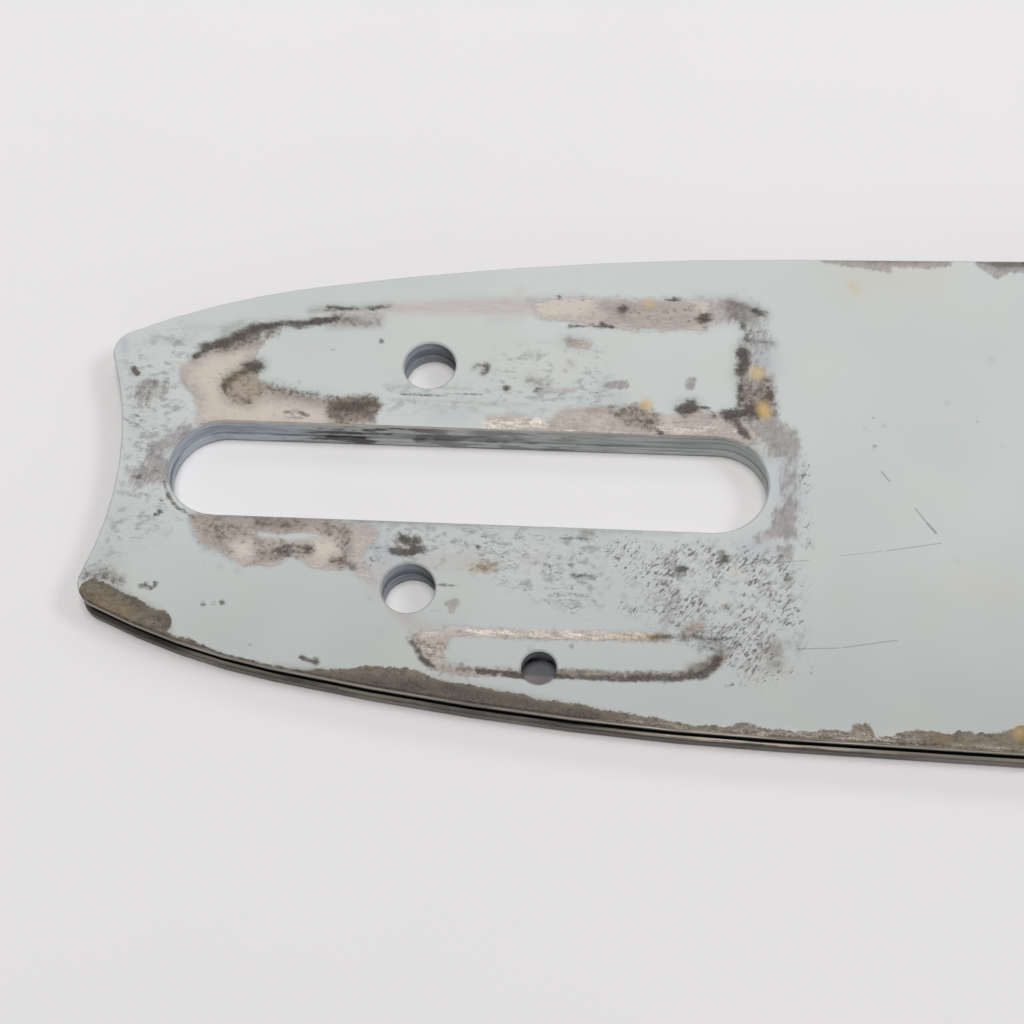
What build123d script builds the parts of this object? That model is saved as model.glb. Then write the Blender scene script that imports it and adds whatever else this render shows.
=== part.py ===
from build123d import *
import os
from math import asin, atan2, cos, degrees, radians, sin, sqrt

# Laminated chainsaw guide bar with a sprocket nose, lying flat, in millimetres.
# Origin: centre of the clamp slot, on the underside.
# +X runs to the nose, +Y across the bar, +Z up through the plates.

# Thicknesses through the laminate
SIDE_PLATE_THICKNESS = 1.55
CORE_THICKNESS = 1.6

# Outline of the side plates
OVERALL_LENGTH = 472.0
BAR_HEIGHT = 65.5
BELLY_RADIUS = 6000.0
BELLY_START_X = 37.0
TAIL_WALL = 5.85
TAIL_ARC_RADIUS = 41.0
HORN_RADIUS = 3.0
HORN_SPREAD = 30.4
HORN_FLANK_ANGLE = 25.5
SHOULDER_REACH = 11.4
NOSE_RADIUS = 28.2
NOSE_TAPER_LENGTH = 70.0
NOSE_TAPER_REACH = 30.0
NOSE_START_ANGLE = 5.0

# Clamp slot, tensioner holes and oil holes
SLOT_LENGTH = 70.0
SLOT_WIDTH = 12.2
TENSIONER_HOLE_DIAMETER = 6.2
TENSIONER_HOLE_X = -5.4
TENSIONER_HOLE_INSET = 12.7
OIL_HOLE_DIAMETER = 4.0
OIL_HOLE_X = 10.1
OIL_HOLE_INSET = 5.4
RIM_BREAK = 0.2

# Core plate, which stands back from the rails to leave the chain's groove
GROOVE_DEPTH = 7.6
CORE_TAIL_SETBACK = 1.5
CORE_HOLE_RELIEF = 0.2
SPROCKET_POCKET_CLEARANCE = 1.2

# Nose sprocket
TOOTH_COUNT = 11
TOOTH_PROUD = 1.2
GULLET_RADIUS = 6.9
GULLET_DEPTH = 7.7
SPROCKET_SIDE_CLEARANCE = 0.075

# Nose bearing and its rivets
RACE_DIAMETER = 16.0
ROLLER_DIAMETER = 2.5
ROLLER_COUNT = 22
ROLLER_RUNNING_CLEARANCE = 0.04
RIVET_COUNT = 4
RIVET_CIRCLE_DIAMETER = 9.6
RIVET_SHANK_DIAMETER = 3.0
RIVET_HEAD_DIAMETER = 4.2
RIVET_HEAD_DEPTH = 0.6
RIVET_CLEARANCE = 0.03

# Places worked out from the sizes above
total_thickness = 2 * SIDE_PLATE_THICKNESS + CORE_THICKNESS
core_bottom_z = SIDE_PLATE_THICKNESS
core_top_z = SIDE_PLATE_THICKNESS + CORE_THICKNESS
tail_middle_x = -SLOT_LENGTH / 2 - TAIL_WALL
tail_centre_x = tail_middle_x - TAIL_ARC_RADIUS
horn_y = HORN_SPREAD / 2
horn_x = tail_centre_x + sqrt((TAIL_ARC_RADIUS + HORN_RADIUS) ** 2 - horn_y**2)
tail_end_x = horn_x - HORN_RADIUS
nose_tip_x = tail_end_x + OVERALL_LENGTH
nose_x = nose_tip_x - NOSE_RADIUS
crown_x = tail_end_x + OVERALL_LENGTH / 2
tooth_tip_radius = NOSE_RADIUS + TOOTH_PROUD
raceway_radius = RACE_DIAMETER / 2 + ROLLER_DIAMETER + 2 * ROLLER_RUNNING_CLEARANCE
roller_circle_radius = RACE_DIAMETER / 2 + ROLLER_DIAMETER / 2 + ROLLER_RUNNING_CLEARANCE
turning_thickness = CORE_THICKNESS - 2 * SPROCKET_SIDE_CLEARANCE
turning_bottom_z = core_bottom_z + SPROCKET_SIDE_CLEARANCE


# A station is a point of the half outline with the direction of travel there, in degrees.
# Neighbouring stations are joined by one arc, so the outline stays tangent all the way.
def shifted(station, inset):
    x, y, heading = station
    return (x + inset * sin(radians(heading)), y - inset * cos(radians(heading)), heading)


def arc_pair_joint(start, end, reach):
    """Station where two tangent arcs meet that lead from start to end, reach setting the first."""
    tangent_a = Vector(cos(radians(start[2])), sin(radians(start[2])))
    tangent_b = Vector(cos(radians(end[2])), sin(radians(end[2])))
    point_a = Vector(start[0], start[1])
    point_b = Vector(end[0], end[1])
    span = point_b - point_a
    far_reach = (span.dot(span) / 2 - reach * span.dot(tangent_a)) / (
        span.dot(tangent_b) - reach * (tangent_a.dot(tangent_b) - 1)
    )
    corner_a = point_a + tangent_a * reach
    corner_b = point_b - tangent_b * far_reach
    run = corner_b - corner_a
    joint = corner_a + run * (reach / (reach + far_reach))
    return (joint.X, joint.Y, degrees(atan2(run.Y, run.X)))


def belly_station(x):
    tilt = asin((crown_x - x) / BELLY_RADIUS)
    return (x, BAR_HEIGHT / 2 - BELLY_RADIUS * (1 - cos(tilt)), degrees(tilt))


def rail_stations():
    """The rail from the horn to the tip of the nose, on the +Y side."""
    flank = radians(HORN_FLANK_ANGLE)
    horn_end = (horn_x - HORN_RADIUS * sin(flank), horn_y + HORN_RADIUS * cos(flank), HORN_FLANK_ANGLE)
    belly_start = belly_station(BELLY_START_X)
    belly_end = belly_station(nose_x - NOSE_TAPER_LENGTH)
    lead = radians(NOSE_START_ANGLE)
    nose_start = (nose_x + NOSE_RADIUS * sin(lead), NOSE_RADIUS * cos(lead), -NOSE_START_ANGLE)
    nose_tip = (nose_tip_x, 0, -90)
    return [
        horn_end,
        arc_pair_joint(horn_end, belly_start, SHOULDER_REACH),
        belly_start,
        belly_end,
        arc_pair_joint(belly_end, nose_start, NOSE_TAPER_REACH),
        nose_start,
        nose_tip,
    ]


def arcs_through(stations):
    arcs = []
    for start, end in zip(stations, stations[1:]):
        heading = radians(start[2])
        arcs.append(TangentArc(start[:2], end[:2], tangent=(cos(heading), sin(heading))))
    return arcs


def mirrored_face(half_edges):
    half = Curve() + half_edges
    return make_face(half + mirror(half, about=Plane.XZ))


def side_plate_profile():
    to_horn = degrees(atan2(horn_y, horn_x - tail_centre_x))
    tail_middle = (tail_middle_x, 0, 90)
    tail_edge = (
        tail_centre_x + TAIL_ARC_RADIUS * cos(radians(to_horn)),
        TAIL_ARC_RADIUS * sin(radians(to_horn)),
        to_horn + 90,
    )
    return mirrored_face(arcs_through([tail_middle, tail_edge] + rail_stations()))


def core_profile():
    """The rails set in by the groove's depth, run on past the tail and then cut by its arc."""
    rail = [shifted(station, GROOVE_DEPTH) for station in rail_stations()]
    x, y, heading = rail[0]
    run_out = tail_end_x - HORN_RADIUS - x
    beyond_tail = (x + run_out, y + run_out * sin(radians(heading)) / cos(radians(heading)))
    closing = Line((beyond_tail[0], 0), beyond_tail)
    lead_in = Line(beyond_tail, (x, y))
    face = mirrored_face([closing, lead_in] + arcs_through(rail))
    tail_cut = Pos(tail_centre_x, 0) * Circle(TAIL_ARC_RADIUS + CORE_TAIL_SETBACK)
    pocket = Pos(nose_x, 0) * Circle(tooth_tip_radius + SPROCKET_POCKET_CLEARANCE)
    return face - tail_cut - pocket


def rail_half_height(x):
    """Half the bar's height on the flank at x, along the arc that leads to the belly."""
    joint, belly_start = rail_stations()[1:3]
    flank = arcs_through([joint, belly_start])[0]
    radius = flank.radius
    centre = flank.arc_center
    return centre.Y + sqrt(radius**2 - (x - centre.X) ** 2)


def clamp_cuts(relief):
    """Slot and tensioner holes, opened by a relief all round."""
    cuts = SlotOverall(SLOT_LENGTH + 2 * relief, SLOT_WIDTH + 2 * relief)
    hole = Circle(TENSIONER_HOLE_DIAMETER / 2 + relief)
    hole_y = rail_half_height(TENSIONER_HOLE_X) - TENSIONER_HOLE_INSET
    for side in (-1, 1):
        cuts += Pos(TENSIONER_HOLE_X, side * hole_y) * hole
    return cuts


def rivet_form(clearance):
    """A countersunk rivet through the whole laminate, standing on its lower face."""
    shank = RIVET_SHANK_DIAMETER / 2 + clearance
    head = RIVET_HEAD_DIAMETER / 2 + clearance
    half_profile = Polyline(
        (0, 0),
        (head, 0),
        (shank, RIVET_HEAD_DEPTH),
        (shank, total_thickness - RIVET_HEAD_DEPTH),
        (head, total_thickness),
        (0, total_thickness),
        close=True,
    )
    return revolve(Plane.XZ * make_face(half_profile), Axis.Z)


def rivet_places():
    ring = PolarLocations(RIVET_CIRCLE_DIAMETER / 2, RIVET_COUNT, start_angle=180 / RIVET_COUNT)
    return [Pos(nose_x, 0) * place for place in ring]


def without_rivet_holes(solid):
    for place in rivet_places():
        solid -= place * rivet_form(RIVET_CLEARANCE)
    return solid


def upper_side_plate():
    oil_hole_y = OIL_HOLE_INSET - rail_half_height(OIL_HOLE_X)
    oil_hole = Pos(OIL_HOLE_X, oil_hole_y) * Circle(OIL_HOLE_DIAMETER / 2)
    profile = side_plate_profile() - clamp_cuts(0) - oil_hole
    plate = Pos(0, 0, core_top_z) * extrude(profile, SIDE_PLATE_THICKNESS)
    outer_rims = plate.faces().sort_by(Axis.Z)[-1].edges()
    return without_rivet_holes(chamfer(outer_rims, RIM_BREAK))


def lower_side_plate():
    """The same plate turned over about the bar's long middle line."""
    turn_over = Pos(0, 0, total_thickness) * Rot(X=180)
    return turn_over * upper_side_plate()


def core_plate():
    profile = core_profile() - clamp_cuts(CORE_HOLE_RELIEF)
    return Pos(0, 0, core_bottom_z) * extrude(profile, CORE_THICKNESS)


def nose_sprocket():
    half_pitch = 180 / TOOTH_COUNT
    gullet_circle_radius = tooth_tip_radius - GULLET_DEPTH + GULLET_RADIUS
    star = Circle(tooth_tip_radius)
    for place in PolarLocations(gullet_circle_radius, TOOTH_COUNT, start_angle=half_pitch):
        star -= place * Circle(GULLET_RADIUS)
    star -= Circle(raceway_radius)
    return Pos(nose_x, 0, turning_bottom_z) * extrude(star, turning_thickness)


def bearing_race():
    race = Pos(nose_x, 0, core_bottom_z) * extrude(Circle(RACE_DIAMETER / 2), CORE_THICKNESS)
    return without_rivet_holes(race)


def bearing_rollers():
    roller = extrude(Circle(ROLLER_DIAMETER / 2), turning_thickness)
    ring = PolarLocations(roller_circle_radius, ROLLER_COUNT)
    return [Pos(nose_x, 0, turning_bottom_z) * place * roller for place in ring]


def nose_rivets():
    return [place * rivet_form(0) for place in rivet_places()]


pieces = {
    "upper_side_plate": upper_side_plate(),
    "core_plate": core_plate(),
    "lower_side_plate": lower_side_plate(),
    "nose_sprocket": nose_sprocket(),
    "bearing_race": bearing_race(),
}
for number, roller in enumerate(bearing_rollers(), start=1):
    pieces[f"bearing_roller_{number:02d}"] = roller
for number, rivet in enumerate(nose_rivets(), start=1):
    pieces[f"nose_rivet_{number}"] = rivet

os.makedirs("parts", exist_ok=True)
for name, piece in pieces.items():
    piece.label = name
    export_step(piece, f"parts/{name}.step")
print(f"{len(pieces)} pieces, {OVERALL_LENGTH:.0f} mm long, {total_thickness:.2f} mm thick")
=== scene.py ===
# %% [markdown]
# A worn chainsaw guide bar lies on a pale floor, seen from above its tail.
# The bar is a sandwich of two painted side plates with a steel core between them, and a
# toothed nose wheel turns at its far tip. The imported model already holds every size, so this
# lesson only gives the pieces their finish: paint, bare steel, grime and rust.

import math

import bpy
import numpy as np
from mathutils import Matrix, Vector


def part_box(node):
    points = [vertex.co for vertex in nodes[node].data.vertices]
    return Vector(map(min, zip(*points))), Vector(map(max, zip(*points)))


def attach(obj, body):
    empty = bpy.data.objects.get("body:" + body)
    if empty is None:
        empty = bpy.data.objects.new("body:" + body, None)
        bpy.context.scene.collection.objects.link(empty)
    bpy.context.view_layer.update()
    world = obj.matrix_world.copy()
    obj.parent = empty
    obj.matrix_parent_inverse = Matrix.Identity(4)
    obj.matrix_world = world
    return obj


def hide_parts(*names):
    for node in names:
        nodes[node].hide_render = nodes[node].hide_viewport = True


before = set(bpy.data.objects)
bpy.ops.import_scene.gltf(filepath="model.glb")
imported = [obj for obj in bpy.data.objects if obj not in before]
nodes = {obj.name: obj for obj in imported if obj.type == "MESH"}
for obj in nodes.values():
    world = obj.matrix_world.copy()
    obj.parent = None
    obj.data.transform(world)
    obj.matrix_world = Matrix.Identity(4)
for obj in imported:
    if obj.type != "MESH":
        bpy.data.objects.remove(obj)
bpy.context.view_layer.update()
MM = 0.001
plate_low, plate_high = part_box("upper_side_plate")
PLATE_TOP = plate_high.z / MM
print(len(nodes), "packed pieces, top face at", round(PLATE_TOP, 3), "mm")

# %% [markdown]
# The camera stands where the photographer's did. Its place, aim and roll were worked out from
# the known sizes of the slot and the holes, so that the same bar fills the same frame. A long
# lens from about thirty centimetres keeps the bar's edges nearly parallel.

# %% Place the camera
IMAGE_SIZE = 1024
SENSOR_WIDTH = 36.0
FOCAL_PIXELS = 2700.2
CAMERA_ROLL = math.radians(-7.6974)
NEAREST_SEEN = 0.01
FARTHEST_SEEN = 20.0
camera_place = Vector((32.417, -142.285, 281.306)) * MM
camera_aim = Vector((5.749, -4.466, 4.7)) * MM

bpy.ops.object.select_all(action="DESELECT")
bpy.ops.object.camera_add(location=camera_place)
camera = bpy.context.object
camera.name = "photo_camera"
looking = (camera_aim - camera_place).to_track_quat("-Z", "Y").to_matrix()
camera.rotation_euler = (looking @ Matrix.Rotation(CAMERA_ROLL, 3, "Z")).to_euler()
camera.data.sensor_width = SENSOR_WIDTH
camera.data.lens = FOCAL_PIXELS * SENSOR_WIDTH / IMAGE_SIZE
camera.data.clip_start = NEAREST_SEEN
camera.data.clip_end = FARTHEST_SEEN
bpy.context.scene.camera = camera
bpy.context.view_layer.update()
print("camera lens", round(camera.data.lens, 2), "mm")

# %% [markdown]
# Every mark on the paint is read off the photograph as a pixel, so a helper turns a pixel into
# a place on the bar's upper face. It follows the camera's ray through that pixel down to the
# height of the face. Marks placed this way stay on the steel from every other side too.

# %% From a pixel to a place on the plate
camera_turn = camera.matrix_world.to_3x3()
camera_right = camera_turn.col[0]
camera_up = camera_turn.col[1]
camera_back = camera_turn.col[2]


def plate_point(pixel):
    """The place on the upper face, in millimetres, that a pixel of the photograph shows."""
    across = (pixel[0] - IMAGE_SIZE / 2) / FOCAL_PIXELS
    upward = (IMAGE_SIZE / 2 - pixel[1]) / FOCAL_PIXELS
    ray = camera_right * across + camera_up * upward - camera_back
    reach = (PLATE_TOP * MM - camera_place.z) / ray.z
    place = (camera_place + ray * reach) / MM
    return place.x, place.y


frame_middle = plate_point((IMAGE_SIZE / 2, IMAGE_SIZE / 2))
frame_right = plate_point((IMAGE_SIZE, IMAGE_SIZE / 2))
PIXELS_PER_MM = (IMAGE_SIZE / 2) / (frame_right[0] - frame_middle[0])
print("the frame's middle is", frame_middle, "with", round(PIXELS_PER_MM, 2), "pixels per mm")

# %% [markdown]
# The floor is a plain pale sheet just under the bar. Most light comes from straight above, so the
# slot and the holes stay bright inside. A weak strip behind the bar lets the light fade a little
# towards the viewer, a weak bluish sun on the right throws the crescent at the slot's right end,
# a dim card in front shows in the rail's polished lips, and a faint sky fills the rest. Together
# they light a level face so that a colour renders about as it is written.

# %% Light the scene
FLOOR_SIZE = 8.0
FLOOR_GAP = 0.00003
TOP_SUN_STRENGTH = 1.94
TOP_SUN_SPREAD = math.radians(24)
TOP_SUN_TINT = (1.0, 0.99, 0.975)
SIDE_SUN_STRENGTH = 0.55
SIDE_SUN_SPREAD = math.radians(16)
SIDE_SUN_TINT = (0.95, 0.975, 1.0)
STRIP_LENGTH = 1.2
STRIP_DEPTH = 0.10
STRIP_POWER = 0.30
CARD_LENGTH = 1.6
CARD_HEIGHT = 0.30
CARD_POWER = 0.80
SKY_STRENGTH = 0.09
SKY_TINT = (0.94, 0.965, 1.0, 1.0)
floor_place = Vector((0.2, 0.0, -FLOOR_GAP))
top_sun_place = Vector((0.2, 0.0, 0.8))
top_sun_towards = Vector((-0.02, 0.02, -1.0))
side_sun_place = Vector((0.6, 0.0, 0.8))
side_sun_towards = Vector((-0.85, -0.06, -1.0))
strip_place = Vector((0.15, 0.15, 0.20))
card_place = Vector((0.15, -0.80, 0.36))
card_towards = Vector((0.0, 0.80, -0.34))
downwards = Vector((0.0, 0.0, -1.0))


def soft_light(kind, name, place, towards, **settings):
    """Puts a lamp at a place, turned to shine along a direction and unseen by the camera."""
    bpy.ops.object.light_add(type=kind, location=place)
    lamp = bpy.context.object
    lamp.name = name
    lamp.rotation_euler = downwards.rotation_difference(towards).to_euler()
    lamp.visible_camera = False
    for setting, value in settings.items():
        setattr(lamp.data, setting, value)


bpy.ops.mesh.primitive_plane_add(size=FLOOR_SIZE, location=floor_place)
floor = bpy.context.object
floor.name = "floor"

soft_light("SUN", "top_sun", top_sun_place, top_sun_towards,
           energy=TOP_SUN_STRENGTH, angle=TOP_SUN_SPREAD, color=TOP_SUN_TINT)
soft_light("SUN", "side_sun", side_sun_place, side_sun_towards,
           energy=SIDE_SUN_STRENGTH, angle=SIDE_SUN_SPREAD, color=SIDE_SUN_TINT)
soft_light("AREA", "back_strip", strip_place, downwards,
           shape="RECTANGLE", size=STRIP_LENGTH, size_y=STRIP_DEPTH, energy=STRIP_POWER)
soft_light("AREA", "front_card", card_place, card_towards,
           shape="RECTANGLE", size=CARD_LENGTH, size_y=CARD_HEIGHT, energy=CARD_POWER)

sky = bpy.data.worlds.new("soft_sky")
sky.use_nodes = True
sky_light = sky.node_tree.nodes["Background"]
sky_light.inputs["Color"].default_value = SKY_TINT
sky_light.inputs["Strength"].default_value = SKY_STRENGTH
bpy.context.scene.world = sky
bpy.context.scene.view_settings.view_transform = "Standard"
print("floor, two suns, strip, card and sky are set")

# %% [markdown]
# Materials are built from nodes, and most nodes are wanted many times. A small class keeps one
# material's tree and gives each kind of node a short call, so that a finish reads like a recipe:
# take the paint, rub it here, let the steel show there.

# %% A short way to write a finish


def colour(red, green, blue):
    """A linear colour for a shader, from the 0 to 255 values that a screen shows."""
    shares = [part / 255 for part in (red, green, blue)]
    linear = [s / 12.92 if s <= 0.04045 else ((s + 0.055) / 1.055) ** 2.4 for s in shares]
    return (*linear, 1.0)


class Finish:
    """One material's node tree, with a short call for each kind of node."""

    def __init__(self, name, shift=0.0):
        self.shift = shift
        self.material = bpy.data.materials.new(name)
        self.material.use_nodes = True
        self.tree = self.material.node_tree
        self.shader = self.tree.nodes["Principled BSDF"]
        place = self.node("TexCoord").outputs["Object"]
        scaled = self.node("VectorMath", {0: place, "Scale": 1 / MM}, operation="SCALE")
        self.millimetres = scaled.outputs[0]

    def feed(self, socket, value):
        """Links a socket to a node's output, or sets it to a plain value."""
        if isinstance(value, bpy.types.NodeSocket):
            self.tree.links.new(value, socket)
        else:
            socket.default_value = value

    def node(self, kind, inputs=(), **settings):
        """A new node of one kind, with its settings made and its inputs fed."""
        node = self.tree.nodes.new("ShaderNode" + kind)
        for setting, value in settings.items():
            setattr(node, setting, value)
        for socket, value in dict(inputs).items():
            self.feed(node.inputs[socket], value)
        return node

    def math(self, operation, *values):
        """The result of one sum on numbers, named as in the node."""
        return self.node("Math", enumerate(values), operation=operation).outputs[0]

    def times(self, first, second):
        """The product of two numbers."""
        return self.math("MULTIPLY", first, second)

    def mapped(self, middle, turn, scale):
        """The place as measured from a middle, along turned axes, in units of scale."""
        inputs = {"Vector": self.millimetres, "Location": middle, "Rotation": (0.0, 0.0, turn),
                  "Scale": scale}
        return self.node("Mapping", inputs, vector_type="TEXTURE").outputs["Vector"]

    def noise(self, size, detail=3.0, stretch=(1.0, 1.0, 1.0), turn=0.0, shift=0.0, rough=0.6):
        """Cloudy noise whose blobs are about size millimetres, stretched along a turned direction."""
        middle = [self.shift + shift] * 3
        place = self.mapped(middle, math.radians(turn), [size * part for part in stretch])
        inputs = {"Vector": place, "Scale": 1.0, "Detail": detail, "Roughness": rough}
        return self.node("TexNoise", inputs).outputs["Fac"]

    def step(self, value, low, high):
        """Rises smoothly from 0 where value is low to 1 where it is high."""
        inputs = {"Value": value, "From Min": low, "From Max": high}
        return self.node("MapRange", inputs, interpolation_type="SMOOTHSTEP").outputs["Result"]

    def mix(self, share, first, second):
        """Blends from the first colour to the second."""
        return self.node("Mix", {0: share, 6: first, 7: second}, data_type="RGBA").outputs[2]

    def between(self, share, first, second):
        """Blends from the first number to the second."""
        return self.node("Mix", {0: share, 2: first, 3: second}).outputs[0]

    def blend(self, first, second, share):
        """A weighted sum of two noises."""
        return self.math("MULTIPLY_ADD", second, share, self.times(first, 1.0 - share))

    def ragged(self, field, noise, reach, soft=0.06):
        """A mask with a broken edge: a smooth field pushed to and fro by noise, then cut at a half."""
        push = self.math("MULTIPLY_ADD", noise, reach, -reach / 2)
        broken = self.step(self.math("ADD", field, push), 0.5 - soft, 0.5 + soft)
        return self.times(broken, self.step(field, 0.0, 0.2))

    def fields(self, attribute):
        """The four channels of a colour attribute on the mesh."""
        source = self.node("Attribute", attribute_name=attribute).outputs
        parts = self.node("SeparateColor", {0: source["Color"]})
        return [*parts.outputs[:3], source["Alpha"]]

    def axis(self, letter):
        """One coordinate of the place, in millimetres."""
        return self.node("SeparateXYZ", {0: self.millimetres}).outputs[letter]

    def line(self, start, end, half_width):
        """A mask of one thin straight line on a level face, with soft sides and ends."""
        run = np.subtract(end, start)
        middle = (*np.add(start, end) / 2, 0.0)
        scale = (np.hypot(*run) / 2, half_width, 1.0)
        place = self.mapped(middle, math.atan2(run[1], run[0]), scale)
        parts = self.node("SeparateXYZ", {0: place}).outputs
        along = self.step(self.math("ABSOLUTE", parts["X"]), 1.0, 0.9)
        across = self.step(self.math("ABSOLUTE", parts["Y"]), 1.0, 0.2)
        return self.times(along, across)

    def relief(self, height, depth):
        """Small relief on the surface, depth millimetres from its lowest to its highest."""
        bump = self.node("Bump", {"Height": height, "Distance": depth * MM})
        self.feed(self.shader.inputs["Normal"], bump.outputs["Normal"])

    def surface(self, base, roughness, metallic=0.0):
        """Feeds the shader and gives the finished material."""
        self.feed(self.shader.inputs["Base Color"], base)
        self.feed(self.shader.inputs["Roughness"], roughness)
        self.feed(self.shader.inputs["Metallic"], metallic)
        return self.material


print("the Finish helper is ready")

# %% [markdown]
# The floor is a sheet of matt card. A single flat white would look like nothing at all, so it
# carries a very faint mottle, as paper does under a soft lamp.

# %% Floor finish
CARD_WHITE = colour(236, 234, 234)
CARD_SHADE = colour(231, 229, 230)
CARD_MOTTLE = 60.0
CARD_ROUGHNESS = 0.9
card = Finish("floor_card")
card_tone = card.mix(card.noise(CARD_MOTTLE), CARD_WHITE, CARD_SHADE)
floor.data.materials.append(card.surface(card_tone, CARD_ROUGHNESS))
print("floor finish:", card.material.name)

# %% [markdown]
# The upper side plate carries nearly all that the photograph shows. Its wear is drawn as smooth
# fields on the mesh's own points, so the flat face needs a fine net of them. The plate's mesh is
# copied into a new piece, its loose triangles are merged, and straight cuts rule the top face
# into small squares: close together where the photograph looks and round the nose, far apart
# along the rest.

# %% Copy the plate and rule its face
FINE_SPACING = 0.36
COARSE_SPACING = 4.0
NOSE_SPACING = 1.0
FINE_END = 68.0
NOSE_START = 340.0
MERGE_DISTANCE = 1e-6
FLAT_ENOUGH = 0.999
FLAT_ANGLE = math.radians(0.05)


def pick(piece):
    """Selects one piece alone and makes it active."""
    bpy.ops.object.select_all(action="DESELECT")
    piece.select_set(True)
    bpy.context.view_layer.objects.active = piece


def triples(items, what):
    """Three numbers for each point or face of a mesh, such as its place or its normal."""
    values = np.empty(len(items) * 3)
    items.foreach_get(what, values)
    return values.reshape(-1, 3)


def merged_copy(node_name, piece_name):
    """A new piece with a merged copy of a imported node's mesh, left open in edit mode."""
    piece = bpy.data.objects.new(piece_name, nodes[node_name].data.copy())
    bpy.context.scene.collection.objects.link(piece)
    pick(piece)
    bpy.ops.mesh.customdata_custom_splitnormals_clear()
    bpy.ops.object.mode_set(mode="EDIT")
    bpy.ops.mesh.select_all(action="SELECT")
    bpy.ops.mesh.remove_doubles(threshold=MERGE_DISTANCE)
    return piece


def select_top_faces(piece):
    """Selects the faces of the open mesh that look straight up."""
    bpy.ops.mesh.select_all(action="DESELECT")
    bpy.ops.object.mode_set(mode="OBJECT")
    for face in piece.data.polygons:
        face.select = face.normal.z > FLAT_ENOUGH
    bpy.ops.object.mode_set(mode="EDIT")
    bpy.ops.mesh.select_mode(type="FACE")


def rule_line(place, direction):
    """Cuts the shown faces with one straight line, square to a direction."""
    bpy.ops.mesh.select_all(action="SELECT")
    bpy.ops.mesh.bisect(plane_co=place, plane_no=direction)


upper_plate = merged_copy("upper_side_plate", "upper_plate_dressed")
select_top_faces(upper_plate)
bpy.ops.mesh.dissolve_limited(angle_limit=FLAT_ANGLE)
select_top_faces(upper_plate)
bpy.ops.mesh.hide(unselected=True)

fine_start = plate_low.x / MM
coarse_end = plate_high.x / MM
lines_across = list(np.arange(fine_start + FINE_SPACING, FINE_END, FINE_SPACING))
lines_across += list(np.arange(FINE_END, NOSE_START, COARSE_SPACING))
lines_across += list(np.arange(NOSE_START, coarse_end, NOSE_SPACING))
lines_along = np.arange(plate_low.y / MM + FINE_SPACING, plate_high.y / MM, FINE_SPACING)
for place in lines_across:
    rule_line((place * MM, 0.0, 0.0), (1.0, 0.0, 0.0))
for place in lines_along:
    rule_line((0.0, place * MM, 0.0), (0.0, 1.0, 0.0))
bpy.ops.mesh.reveal(select=False)
bpy.ops.object.mode_set(mode="OBJECT")
print("ruled", len(lines_across) + len(lines_along), "lines:", len(upper_plate.data.vertices), "points")

# %% [markdown]
# The running chain has rounded the two inner lips of its groove, and the lower lip catches the
# light as a thin bright line. A narrow bevel along the outline's inner edge stands for that. The
# slot, the holes and the riveted nose keep their sharp inner edges.

# %% Break the groove's lips
SLOT_REACH = 7.0
SLOT_END = 38.0
# two tensioner holes, then two oil holes: a place along and across the bar, and a reach
HOLE_PLACES = ((-5.4, 14.537, 5.0), (-5.4, -14.537, 5.0),
               (10.1, -23.676, 3.4), (10.1, 23.676, 3.4))
NOSE_AXIS = 400.241
NOSE_RADIUS = 28.2
NOSE_RIM = 4.0
LIP_BREAK = 0.42
LEVEL_FACE = 0.9
UPRIGHT_FACE = 0.3


def in_opening(places):
    """True for each place that lies in or close beside the slot or a hole."""
    inside = (np.abs(places[:, 1]) < SLOT_REACH) & (np.abs(places[:, 0]) < SLOT_END)
    for x, y, reach in HOLE_PLACES:
        inside |= np.hypot(places[:, 0] - x, places[:, 1] - y) < reach
    return inside


def select_lip_edges(piece):
    """Selects the edges where the plate's inner face meets its outer wall."""
    inner_edges = set()
    wall_edges = set()
    for face in piece.data.polygons:
        if face.normal.z < -LEVEL_FACE:
            inner_edges.update(face.edge_keys)
        elif abs(face.normal.z) < UPRIGHT_FACE:
            wall_edges.update(face.edge_keys)
    places = triples(piece.data.vertices, "co")[:, :2] / MM
    kept = in_opening(places)
    kept |= np.hypot(places[:, 0] - NOSE_AXIS, places[:, 1]) < NOSE_RADIUS - NOSE_RIM
    lips = inner_edges & wall_edges
    for edge in piece.data.edges:
        edge.select = edge.key in lips and not kept[list(edge.vertices)].any()
    return sum(edge.select for edge in piece.data.edges)


bpy.ops.object.mode_set(mode="EDIT")
bpy.ops.mesh.select_all(action="DESELECT")
bpy.ops.object.mode_set(mode="OBJECT")
lip_edges = select_lip_edges(upper_plate)
bpy.context.tool_settings.mesh_select_mode = (False, True, False)
bpy.ops.object.mode_set(mode="EDIT")
bpy.ops.mesh.bevel(offset=LIP_BREAK * MM, segments=1)
bpy.ops.object.mode_set(mode="OBJECT")
print(lip_edges, "edges of the groove's lip are broken")

# %% [markdown]
# Wear is painted with two brushes. A stroke follows a line of pixels with a half width, and a
# patch fills an outline. Each brush gives a field that is 1 in its middle, a half at its edge
# and 0 outside, so the finish can break that edge up with noise later. Every field belongs to
# one layer, such as bare steel, grime, scuffed paint, worn rail, speckle, rust or greasy film.

# %% The two wear brushes
LAYERS = ("bare", "grime", "scuff", "rail", "speckle", "rust", "shine", "blue",
          "haze", "stain", "film", "smudge")
plate_places = triples(upper_plate.data.vertices, "co")[:, :2] / MM


def no_wear():
    """A field for each layer that is 0 all over the plate."""
    return {layer: np.zeros(len(plate_places)) for layer in LAYERS}


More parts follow.
